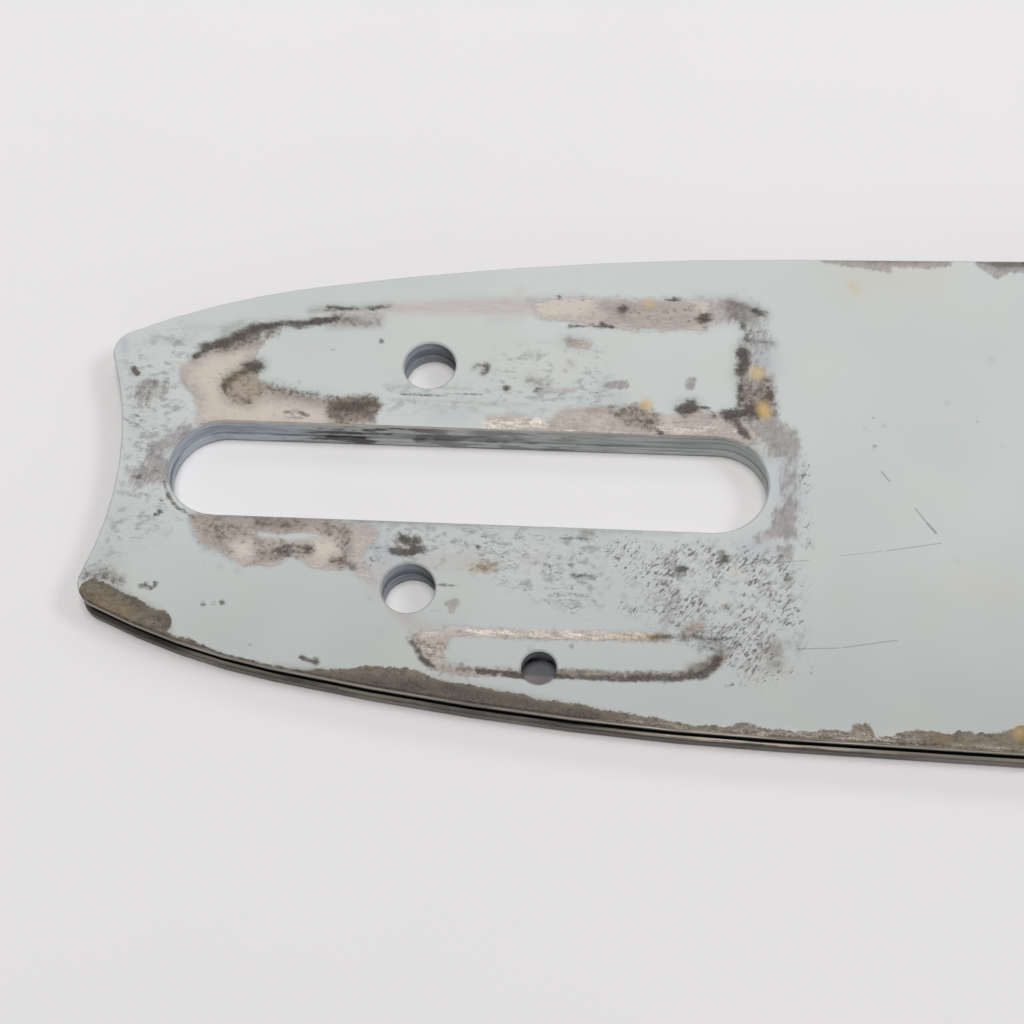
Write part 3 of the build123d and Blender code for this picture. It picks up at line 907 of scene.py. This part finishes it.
# %% Tones of paint, steel and rail
PAINT = colour(200, 205, 203)
PAINT_SHADE = colour(194, 200, 198)
PAINT_WARM = colour(201, 203, 196)
SMUDGE_GREY = colour(146, 147, 150)
SCUFF_BLUE = colour(166, 172, 188)
HAZE_PINK = colour(188, 177, 174)
NEAR_SHADE_GREY = colour(96, 94, 92)
STEEL_PALE = colour(212, 202, 190)
STEEL_BEIGE = colour(194, 184, 177)
STEEL_DULL = colour(160, 151, 146)
STEEL_DARK = colour(122, 112, 105)
RAIL_BROWN = colour(98, 89, 77)
RAIL_PALE = colour(122, 112, 99)
RAIL_DARK = colour(74, 67, 61)
RAIL_OLIVE = colour(110, 96, 70)
RAIL_FLECK = colour(158, 144, 120)
NEAR_SHADE_SPAN = (6.0, -36.0)
NEAR_SHADE_STRENGTH = 0.28
LEVEL_TURN = -2.0


def paint_coat(finish, blue, haze, smudge):
    """Pale paint with clouds, soft smudges and rubs, and painted shade towards the near rail."""
    cloud = finish.noise(28.0, 2.0, shift=11.0)
    warm_cloud = finish.noise(17.0, 2.0, shift=13.0)
    dabs = finish.noise(0.9, 4.0, (1.4, 1.0, 1.0), shift=17.0)
    wiped = finish.noise(0.3, 3.0, (7.0, 1.0, 1.0), turn=LEVEL_TURN, shift=19.0)
    coat = finish.mix(finish.step(cloud, 0.35, 0.65), PAINT, PAINT_SHADE)
    coat = finish.mix(finish.step(warm_cloud, 0.5, 0.8), coat, PAINT_WARM)
    dabbed = finish.times(smudge, finish.step(dabs, 0.5, 0.66))
    coat = finish.mix(finish.times(dabbed, 0.85), coat, SMUDGE_GREY)
    lined = finish.times(smudge, finish.step(wiped, 0.54, 0.68))
    coat = finish.mix(finish.times(lined, 0.2), coat, SMUDGE_GREY)
    tint = finish.times(blue, finish.between(wiped, 0.5, 0.95))
    coat = finish.mix(tint, coat, SCUFF_BLUE)
    veil = finish.times(haze, finish.between(finish.step(wiped, 0.35, 0.65), 0.6, 1.0))
    coat = finish.mix(veil, coat, HAZE_PINK)
    # painted shade: the paint darkens towards the near rail, where less light falls
    near_shade = finish.times(finish.step(finish.axis("Y"), *NEAR_SHADE_SPAN), NEAR_SHADE_STRENGTH)
    return finish.mix(near_shade, coat, NEAR_SHADE_GREY)


def bare_steel(finish, coarse, fine, brushed, pale):
    """Beige steel, more mottled than brushed, with a few dark pits, paler where rubbed most."""
    mottle = finish.blend(finish.blend(coarse, fine, 0.5), brushed, 0.25)
    steel = finish.mix(finish.step(mottle, 0.38, 0.62), STEEL_DULL, STEEL_BEIGE)
    steel = finish.mix(finish.times(pale, 0.75), steel, STEEL_PALE)
    pits = finish.times(finish.step(fine, 0.56, 0.76), 0.5)
    return finish.mix(pits, steel, STEEL_DARK)


def rail_face(finish, coarse, fine, grit, clusters):
    """The brown of the worn rail, blotched, flecked and faintly drawn out along the bar."""
    drawn = finish.noise(0.45, 6.0, (3.0, 1.0, 1.0), shift=21.0, rough=0.75)
    tone = finish.mix(finish.step(drawn, 0.36, 0.64), RAIL_BROWN, RAIL_PALE)
    tone = finish.mix(finish.times(finish.step(clusters, 0.48, 0.64), 0.75), tone, RAIL_OLIVE)
    tone = finish.mix(finish.step(finish.blend(coarse, fine, 0.5), 0.46, 0.64), tone, RAIL_DARK)
    return finish.mix(finish.times(finish.step(grit, 0.6, 0.7), 0.55), tone, RAIL_FLECK)


print("tones of paint, bare steel and rail are ready")

# %% [markdown]
# The worn paint is one finish with many layers, laid as they came on the real plate: pale
# grey-green paint, smudges and rubs, bare beige steel, brown stain and rail, polished lines that
# are partly painted highlight, dark speckle, greasy film, grime and rust on top. Some layers are
# soft veils. The others have edges that noise of their own grain breaks up. The speckle lies level
# near the tail and slants further right, and painted glints of highlight lie in fine streaks on
# the polished steel.

# %% Worn paint
SCUFF_GREY = colour(132, 126, 127)
SCUFF_PINK = colour(166, 158, 156)
PAINT_EDGE = colour(150, 150, 155)
STAIN_BROWN = colour(132, 118, 102)
STAIN_DARK = colour(82, 72, 62)
POLISH_AND_HIGHLIGHT = colour(234, 224, 212)
PAINTED_GLINT_WHITE = colour(252, 248, 240)
SPECKLE_GREY = colour(114, 106, 109)
SPECKLE_DARK = colour(66, 61, 64)
FILM_BROWN = colour(88, 78, 68)
GRIME_BLACK = colour(52, 48, 47)
GRIME_BROWN = colour(90, 79, 69)
RUST_YELLOW = colour(208, 172, 98)
SLANT_SPAN = (13.0, 21.0)
UPRIGHT_TURN = 78.0
DASH_TURN = 58.0
DOT_TURN = 54.0


def worn_paint(name, shift, scratches=()):
    """Layered worn paint. The shift moves every noise, so that two plates don't match."""
    finish = Finish(name, shift)
    bare, grime, scuff, rail = finish.fields("wear_first")
    speckle, rust, shine, blue = finish.fields("wear_second")
    haze, stain, film, smudge = finish.fields("wear_third")
    coarse = finish.noise(2.0, 6.0, rough=0.65)
    fine = finish.noise(0.5, 4.0, shift=3.0)
    grit = finish.noise(0.22, 2.0, shift=5.0)
    brushed = finish.noise(0.35, 4.0, (5.0, 1.0, 1.0), turn=LEVEL_TURN, shift=7.0)
    upright = finish.noise(0.35, 4.0, (4.5, 1.0, 1.0), turn=UPRIGHT_TURN, shift=27.0)
    slanted = finish.step(finish.axis("X"), *SLANT_SPAN)
    level_dashes = finish.noise(0.35, 3.0, (4.0, 1.0, 1.0), turn=LEVEL_TURN, shift=31.0)
    slanted_dashes = finish.noise(0.5, 3.0, (3.0, 1.0, 1.0), turn=DASH_TURN, shift=9.0)
    dashes = finish.between(slanted, level_dashes, slanted_dashes)
    level_dots = finish.noise(0.34, 4.0, (1.7, 1.0, 1.0), turn=LEVEL_TURN, shift=29.0, rough=0.7)
    slanted_dots = finish.noise(0.34, 4.0, (2.2, 1.0, 1.0), turn=DOT_TURN, shift=23.0, rough=0.66)
    dots = finish.between(slanted, level_dots, slanted_dots)
    clusters = finish.noise(3.0, 3.0, shift=15.0)
    smeary = finish.noise(1.0, 5.0, (2.2, 1.0, 1.0), turn=LEVEL_TURN, shift=25.0, rough=0.65)
    mottle = finish.blend(coarse, fine, 0.5)

    # paint, and paint that is rubbed grey
    base = paint_coat(finish, blue, haze, smudge)
    rubbed = finish.ragged(scuff, finish.blend(upright, mottle, 0.62), 2.1, 0.3)
    rub_grain = finish.blend(mottle, upright, 0.35)
    rub_tone = finish.mix(finish.step(rub_grain, 0.4, 0.6), SCUFF_PINK, SCUFF_GREY)
    base = finish.mix(finish.times(rubbed, 0.78), base, rub_tone)

    # bare steel with a grey border along its edge, and brown stain on it
    bare_edge = finish.blend(mottle, brushed, 0.35)
    edged = finish.ragged(finish.times(bare, 1.4), bare_edge, 1.9, 0.25)
    base = finish.mix(finish.times(edged, 0.42), base, PAINT_EDGE)
    bared = finish.ragged(bare, bare_edge, 1.7, 0.1)
    base = finish.mix(bared, base, bare_steel(finish, coarse, fine, brushed, haze))
    stained = finish.ragged(finish.times(stain, 0.9), mottle, 2.1, 0.34)
    stain_tone = finish.mix(finish.step(fine, 0.42, 0.62), STAIN_BROWN, STAIN_DARK)
    base = finish.mix(finish.times(stained, 0.85), base, stain_tone)

    # worn rail, polished steel partly painted as highlight, and painted glints
    railed = finish.ragged(rail, finish.blend(coarse, fine, 0.45), 1.5, 0.1)
    base = finish.mix(railed, base, rail_face(finish, coarse, fine, grit, clusters))
    shiny = finish.times(shine, finish.step(finish.blend(brushed, grit, 0.4), 0.4, 0.58))
    base = finish.mix(shiny, base, POLISH_AND_HIGHLIGHT)
    # painted highlight: white glints on the polished steel
    painted_glints = finish.times(shine, finish.step(finish.blend(grit, brushed, 0.55), 0.55, 0.62))
    base = finish.mix(painted_glints, base, PAINTED_GLINT_WHITE)

    # speckle, greasy film, grime, rust and scratches
    crowded = finish.times(speckle, finish.step(clusters, 0.3, 0.56))
    dashed = finish.ragged(finish.times(crowded, 0.6), dashes, 2.3, 0.2)
    base = finish.mix(finish.times(dashed, 0.6), base, rub_tone)
    dotted = finish.ragged(finish.times(crowded, 0.6), dots, 2.3, 0.12)
    dot_tone = finish.mix(finish.step(fine, 0.4, 0.6), SPECKLE_DARK, SPECKLE_GREY)
    base = finish.mix(finish.times(dotted, 0.85), base, dot_tone)
    film_break = finish.ragged(film, finish.blend(smeary, fine, 0.25), 1.6, 0.3)
    filmed = finish.times(film, finish.between(film_break, 0.34, 1.0))
    base = finish.mix(filmed, base, FILM_BROWN)
    grimy = finish.ragged(grime, finish.blend(smeary, fine, 0.33), 1.9, 0.28)
    grime_tone = finish.mix(finish.step(grit, 0.38, 0.64), GRIME_BLACK, GRIME_BROWN)
    base = finish.mix(finish.times(grimy, 0.92), base, grime_tone)
    base = finish.mix(finish.times(rust, finish.step(fine, 0.22, 0.52)), base, RUST_YELLOW)
    for start, end, half_width, depth in scratches:
        scratched = finish.times(finish.line(start, end, half_width), depth)
        base = finish.mix(scratched, base, FILM_BROWN)

    # metal shines where it is clean, and the paint stands a little above it
    metal = finish.math("MAXIMUM", bared, railed)
    clean_metal = finish.times(metal, finish.math("SUBTRACT", 1.0, grimy))
    roughness = finish.between(metal, 0.5, 0.42)
    roughness = finish.between(finish.math("MAXIMUM", grimy, rubbed), roughness, 0.62)
    paint_left = finish.math("SUBTRACT", 1.0, metal)
    finish.relief(finish.math("MULTIPLY_ADD", fine, 0.3, paint_left), 0.03)
    return finish.surface(base, roughness, finish.times(clean_metal, 0.25))


print("the worn paint can be mixed")

# %% [markdown]
# A few thin scratches cross the clean paint. Each is a straight line between two pixels, with a
# half width in pixels and a depth of tone.

# %% Paint of the upper plate
scratch_pixels = [
    ((838, 556), (885, 551), 0.7, 0.3),
    ((885, 551), (943, 543), 0.9, 0.4),
    ((740, 565), (812, 560), 0.8, 0.4),
    ((795, 649), (840, 648), 0.9, 0.45),
    ((840, 648), (899, 640), 0.9, 0.45),
    ((881, 471), (890, 482), 1.2, 0.5),
    ((915, 508), (926, 522), 1.0, 0.55),
    ((926, 522), (937, 534), 1.9, 0.55),
]
scratches = []
for start, end, half_width, depth in scratch_pixels:
    scratches.append((plate_point(start), plate_point(end), half_width / PIXELS_PER_MM, depth))
upper_paint = worn_paint("worn_paint_upper", 0.0, scratches)
print("finish:", upper_paint.name, "with", len(scratches), "scratches")

# %% [markdown]
# The walls of the slot and holes still hold paint. It is clean at the slot's tail end, blotched
# with grease past it, and clean again towards the right. The tail end and the holes are painted
# bluish, as lit by the light from the right. The holes are painted dark as shade, low down and on
# their right side, and the oil holes all round, most of all. Each span below runs, in millimetres,
# from where a change starts to where it is full.

# %% Wall finish
WALL_PAINT = colour(190, 196, 193)
WALL_LIT_BLUE = colour(190, 199, 210)
WALL_GREASE_AND_SHADE = colour(62, 58, 57)
WALL_LINE = colour(118, 118, 116)
GREASE_START_SPAN = (-24.0, -16.0)
GREASE_THINS_SPAN = (-12.0, 0.0)
GREASE_ENDS_SPAN = (8.0, 20.0)
HOLE_SPAN = (SLOT_REACH + 1.0, SLOT_REACH + 2.0)
OIL_HOLE_SPAN = (18.0, 20.0)
HOLE_RIGHT_SPAN = (-1.0, 2.6)
HOLE_DEEP_SPAN = (3.4, 3.0)
OIL_HOLE_SHADE = 0.62


def slot_wall_tone(finish):
    """Paint on a slot or hole wall, and how much grease and painted shade it has there."""
    along = finish.axis("X")
    aside = finish.math("ABSOLUTE", finish.axis("Y"))
    lines = finish.noise(0.5, 2.0, (24.0, 24.0, 1.0), shift=3.0)
    blotch = finish.noise(3.2, 4.0, (1.8, 1.8, 0.4), shift=6.0)

    # the slot's wall: clean at its tail end, then blotches that thin out towards the right
    further = finish.step(along, *GREASE_START_SPAN)
    thinning = finish.between(finish.step(along, *GREASE_THINS_SPAN), 0.95, 0.5)
    thinning = finish.between(finish.step(along, *GREASE_ENDS_SPAN), thinning, 0.1)
    amount = finish.between(further, 0.2, thinning)
    blotched = finish.times(finish.step(blotch, 0.46, 0.56), amount)

    # the holes: painted shade, dark low down and on their right side, and all round in the oil holes
    in_hole = finish.step(aside, *HOLE_SPAN)
    in_oil_hole = finish.step(aside, *OIL_HOLE_SPAN)
    hole_middle = finish.between(in_oil_hole, HOLE_PLACES[0][0], HOLE_PLACES[2][0])
    right_side = finish.step(finish.math("SUBTRACT", along, hole_middle), *HOLE_RIGHT_SPAN)
    deep = finish.times(finish.step(finish.axis("Z"), *HOLE_DEEP_SPAN), 0.75)
    deep = finish.times(deep, finish.between(right_side, 0.5, 1.0))
    dark_hole = finish.math("MAXIMUM", deep, finish.times(right_side, 0.85))
    dark_hole = finish.math("MAXIMUM", dark_hole, finish.times(in_oil_hole, OIL_HOLE_SHADE))

    # grease blotches on the slot's wall, painted shade in the holes
    grease_and_shade = finish.between(in_hole, blotched, dark_hole)
    # painted light: the slot's tail end and the hole walls are bluish, as lit from the right
    lit_bluish = finish.math("MAXIMUM", in_hole, finish.math("SUBTRACT", 1.0, further))
    tone = finish.mix(lit_bluish, WALL_PAINT, WALL_LIT_BLUE)
    tone = finish.mix(finish.times(finish.step(lines, 0.52, 0.62), 0.55), tone, WALL_LINE)
    return finish.mix(grease_and_shade, tone, WALL_GREASE_AND_SHADE), grease_and_shade


def wall_paint(name):
    """The painted wall of the slot and holes, duller where it has grease and painted shade."""
    finish = Finish(name)
    tone, grease_and_shade = slot_wall_tone(finish)
    return finish.surface(tone, finish.between(grease_and_shade, 0.45, 0.6))


wall_finish = wall_paint("wall_paint_grease_and_shade")
print("finish:", wall_finish.name)

# %% [markdown]
# The outer rail is steel that the running chain has polished in two level lines, one above the
# groove and one at its lower lip, and both lines are painted bright as highlights. Between them
# it is dull and brown, painted dark along the groove's upper lip as the groove's shade, and
# painted dark as shade at the tail.

# %% Rail finish
RIM_POLISH_HIGHLIGHT = colour(246, 234, 214)
RIM_DULL = colour(124, 116, 108)
RIM_DARK = colour(94, 87, 81)
RIM_GROOVE_SHADE = colour(44, 40, 37)
RIM_TAIL_SHADE = colour(62, 56, 51)
GROOVE_SHADE_RISE_SPAN = (-34.0, -18.0)
GROOVE_SHADE_TOPS = (3.4, 3.74)
GROOVE_SHADE_FADE = 0.18
GROOVE_SHADE_FOOT_SPAN = (2.9, 3.0)
UPPER_LINE_SPANS = ((3.5, 3.9), (4.45, 4.2))
LOWER_LINE_SPANS = ((1.2, 1.36), (1.8, 1.7))
RUBBED_START_SPAN = (14.0, 30.0)
RUBBED_END_SPAN = (36.0, 54.0)
RIM_TAIL_SHADE_SPAN = (-27.0, -35.0)


def level_line(finish, height, spans):
    """A mask of one level line on the rail, from the spans of its foot and its top."""
    foot, top = spans
    return finish.times(finish.step(height, *foot), finish.step(height, *top))


def rail_steel(name):
    """Dull outer rail, painted shade at the tail and the groove's upper lip, and two painted highlight
    lines.
    """
    finish = Finish(name)
    drawn = finish.noise(0.3, 3.0, (30.0, 30.0, 0.7))
    stain = finish.noise(4.0, 4.0, (2.5, 1.0, 1.0), shift=4.0)
    along = finish.axis("X")
    height = finish.axis("Z")
    # painted shade of the groove: a dark band along its upper lip, higher towards the tail
    shade_top = finish.between(finish.step(along, *GROOVE_SHADE_RISE_SPAN), *GROOVE_SHADE_TOPS)
    shade_fade = finish.step(finish.math("SUBTRACT", height, shade_top), GROOVE_SHADE_FADE, 0.0)
    oil = finish.times(shade_fade, finish.step(height, *GROOVE_SHADE_FOOT_SPAN))
    upper_line = level_line(finish, height, UPPER_LINE_SPANS)
    lower_line = level_line(finish, height, LOWER_LINE_SPANS)
    lines = finish.math("MAXIMUM", upper_line, lower_line)
    rubbed = finish.between(finish.step(along, *RUBBED_START_SPAN), 0.2, 1.0)
    rubbed = finish.between(finish.step(along, *RUBBED_END_SPAN), rubbed, 0.3)
    worn = finish.step(finish.math("SUBTRACT", drawn, finish.times(stain, 0.3)), 0.2, 0.45)
    tone = finish.mix(finish.step(stain, 0.42, 0.6), RIM_DULL, RIM_DARK)
    # painted shade at the tail
    tone = finish.mix(finish.times(finish.step(along, *RIM_TAIL_SHADE_SPAN), 0.75), tone, RIM_TAIL_SHADE)
    # two polished lines, painted bright as highlights
    tone = finish.mix(finish.times(finish.times(lines, rubbed), worn), tone, RIM_POLISH_HIGHLIGHT)
    # the groove's painted shade on its upper lip
    tone = finish.mix(oil, tone, RIM_GROOVE_SHADE)
    finish.relief(drawn, 0.02)
    roughness = finish.between(lines, finish.between(drawn, 0.34, 0.5), 0.22)
    return finish.surface(tone, roughness, finish.between(lines, 0.25, 0.8))


rail_finish = rail_steel("worn_rail_steel")
print("finish:", rail_finish.name)

# %% [markdown]
# The inner face of a plate shows in the chain's groove and at the bottom of the oil holes. It is
# dark and oily there, greyer under the oil holes, and painted where it borders the slot. With it
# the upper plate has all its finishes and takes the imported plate's place.

# %% Groove finish and the dressed upper plate
GROOVE_STEEL = colour(50, 46, 43)
GROOVE_OIL = colour(28, 26, 25)
OIL_HOLE_FLOOR = colour(88, 90, 93)
OIL_HOLE_SILT = colour(120, 113, 114)
SILT_SPAN = (23.3, 23.5)
OPENING_FADE = 0.5
OILY_ROUGHNESS = 0.55


def near_hole(finish, hole):
    """A mask that is 1 within a hole's reach, also on the other side of the bar's middle."""
    x, y, reach = hole
    along = finish.math("POWER", finish.math("SUBTRACT", finish.axis("X"), x), 2.0)
    aside = finish.math("SUBTRACT", finish.math("ABSOLUTE", finish.axis("Y")), abs(y))
    distance = finish.math("SQRT", finish.math("ADD", along, finish.math("POWER", aside, 2.0)))
    return finish.step(distance, reach, reach - OPENING_FADE)


def painted_opening(finish):
    """A mask of the slot and the two tensioner holes, where paint has run in."""
    along = finish.math("ABSOLUTE", finish.axis("X"))
    along = finish.step(along, SLOT_END, SLOT_END - OPENING_FADE)
    aside = finish.math("ABSOLUTE", finish.axis("Y"))
    aside = finish.step(aside, SLOT_REACH + OPENING_FADE, SLOT_REACH)
    in_slot = finish.times(along, aside)
    return finish.math("MAXIMUM", in_slot, near_hole(finish, HOLE_PLACES[0]))


def groove_steel(name):
    """Oily steel, grey with brown silt under the oil holes, and painted in the other openings."""
    finish = Finish(name)
    oil = finish.noise(2.5, 4.0, (3.0, 1.0, 1.0))
    tone = finish.mix(finish.step(oil, 0.4, 0.6), GROOVE_STEEL, GROOVE_OIL)
    silt = finish.step(finish.math("ABSOLUTE", finish.axis("Y")), *SILT_SPAN)
    hole_floor = finish.mix(silt, OIL_HOLE_FLOOR, OIL_HOLE_SILT)
    tone = finish.mix(near_hole(finish, HOLE_PLACES[2]), tone, hole_floor)
    paint = slot_wall_tone(finish)[0]
    return finish.surface(finish.mix(painted_opening(finish), tone, paint), OILY_ROUGHNESS)


plate_finishes = [wall_finish, rail_finish, groove_steel("oily_groove_steel")]
dress_plate(upper_plate, upper_wear, [upper_paint, *plate_finishes], 1)
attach(upper_plate, "bar")
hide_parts("upper_side_plate")

# %% [markdown]
# The lower side plate is the same stamping turned over, so its piece is a copy of the ruled mesh
# turned half round about the bar's length. Its wear isn't known. It gets the plain wear that such
# a plate has: worn rails on both sides and rubbed paint round the slot.

# %% The lower plate
SLOT_HALF_LENGTH = 28.9
RUB_WIDTH = 6.0
# layer, reach in rub widths, strength
LOWER_RUBS = (("scuff", 2.0, 0.62), ("bare", 1.0, 0.6), ("grime", 1.5, 0.5))
LOWER_SHIFT = 40.0

lower_plate = bpy.data.objects.new("lower_plate_dressed", upper_plate.data.copy())
bpy.context.scene.collection.objects.link(lower_plate)
half_turn = Matrix.Rotation(math.pi, 4, "X")
lift = Matrix.Translation((0.0, 0.0, PLATE_TOP * MM))
lower_plate.data.transform(lift @ half_turn)
lower_wear = no_wear()
slot_distance = distance_to_line(plate_places, [(-SLOT_HALF_LENGTH, 0.0), (SLOT_HALF_LENGTH, 0.0)])
for layer, reach, strength in LOWER_RUBS:
    fade = np.clip(1.0 - (slot_distance - SLOT_REACH) / (reach * RUB_WIDTH), 0.0, 1.0)
    lay(lower_wear, layer, fade, strength)
for layer in ("rail", "shine"):
    lower_wear[layer] = upper_wear[layer].copy()
for name in WEAR_ATTRIBUTES:
    lower_plate.data.attributes.remove(lower_plate.data.attributes[name])
lower_paint = worn_paint("worn_paint_lower", LOWER_SHIFT)
dress_plate(lower_plate, lower_wear, [lower_paint, *plate_finishes], -1)
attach(lower_plate, "bar")
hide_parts("lower_side_plate")

# %% [markdown]
# The core, nose wheel, bearing and rivets keep their imported shapes and only need a finish. The
# core is oily steel painted pale grey as light, so that it looks lit in the shaded holes, with
# paint on its walls in the slot and the tensioner holes. The wheel is ground and worn dull, the
# rollers and their race are polished, and the rivets are peened flat.

# %% Finishes of the imported pieces
CORE_LIT_STEEL = colour(186, 192, 200)
CORE_LIT_OIL = colour(126, 130, 136)
WHEEL_STEEL = colour(150, 146, 140)
WHEEL_DULL = colour(104, 99, 93)
BEARING_BRIGHT = colour(196, 194, 190)
BEARING_OIL = colour(138, 130, 118)
RIVET_PALE = colour(166, 160, 152)
RIVET_DARK = colour(134, 127, 119)
SCRATCH_TURN = 20.0


def mottled_steel(name, pale, dark, grain, roughness, metallic):
    """Bare steel with a stain of its own grain."""
    finish = Finish(name)
    stain = finish.noise(grain, 5.0)
    scratch = finish.noise(grain / 4, 3.0, (5.0, 1.0, 1.0), turn=SCRATCH_TURN, shift=2.0)
    tone = finish.mix(finish.step(stain, 0.4, 0.62), pale, dark)
    finish.relief(scratch, 0.01)
    return finish.surface(tone, finish.between(scratch, roughness - 0.08, roughness + 0.12), metallic)


def core_finish(name):
    """Oily steel painted pale grey as light, with paint on the walls of the slot and the tensioner
    holes.
    """
    finish = Finish(name)
    painted = painted_opening(finish)
    paint = slot_wall_tone(finish)[0]
    # painted light: the oily steel is drawn pale grey so that the shaded holes look lit
    steel = finish.mix(finish.step(finish.noise(4.0, 5.0), 0.4, 0.6), CORE_LIT_STEEL, CORE_LIT_OIL)
    tone = finish.mix(painted, steel, paint)
    return finish.surface(tone, OILY_ROUGHNESS, finish.between(painted, 0.3, 0.0))


slot_finishes = {
    "core_plate": core_finish("core_steel_painted_pale"),
    "nose_sprocket": mottled_steel("ground_wheel_steel", WHEEL_STEEL, WHEEL_DULL,
                                   grain=3.0, roughness=0.4, metallic=0.5),
    "bearing": mottled_steel("polished_bearing_steel", BEARING_BRIGHT, BEARING_OIL,
                             grain=1.2, roughness=0.24, metallic=0.7),
    "nose_rivet": mottled_steel("peened_rivet_steel", RIVET_PALE, RIVET_DARK,
                                grain=0.9, roughness=0.4, metallic=0.35),
}
dressed = 0
for node_name, node in nodes.items():
    for start, finish in slot_finishes.items():
        if node_name.startswith(start):
            node.data.materials.clear()
            node.data.materials.append(finish)
            dressed += 1
print(dressed, "packed pieces have their finish")
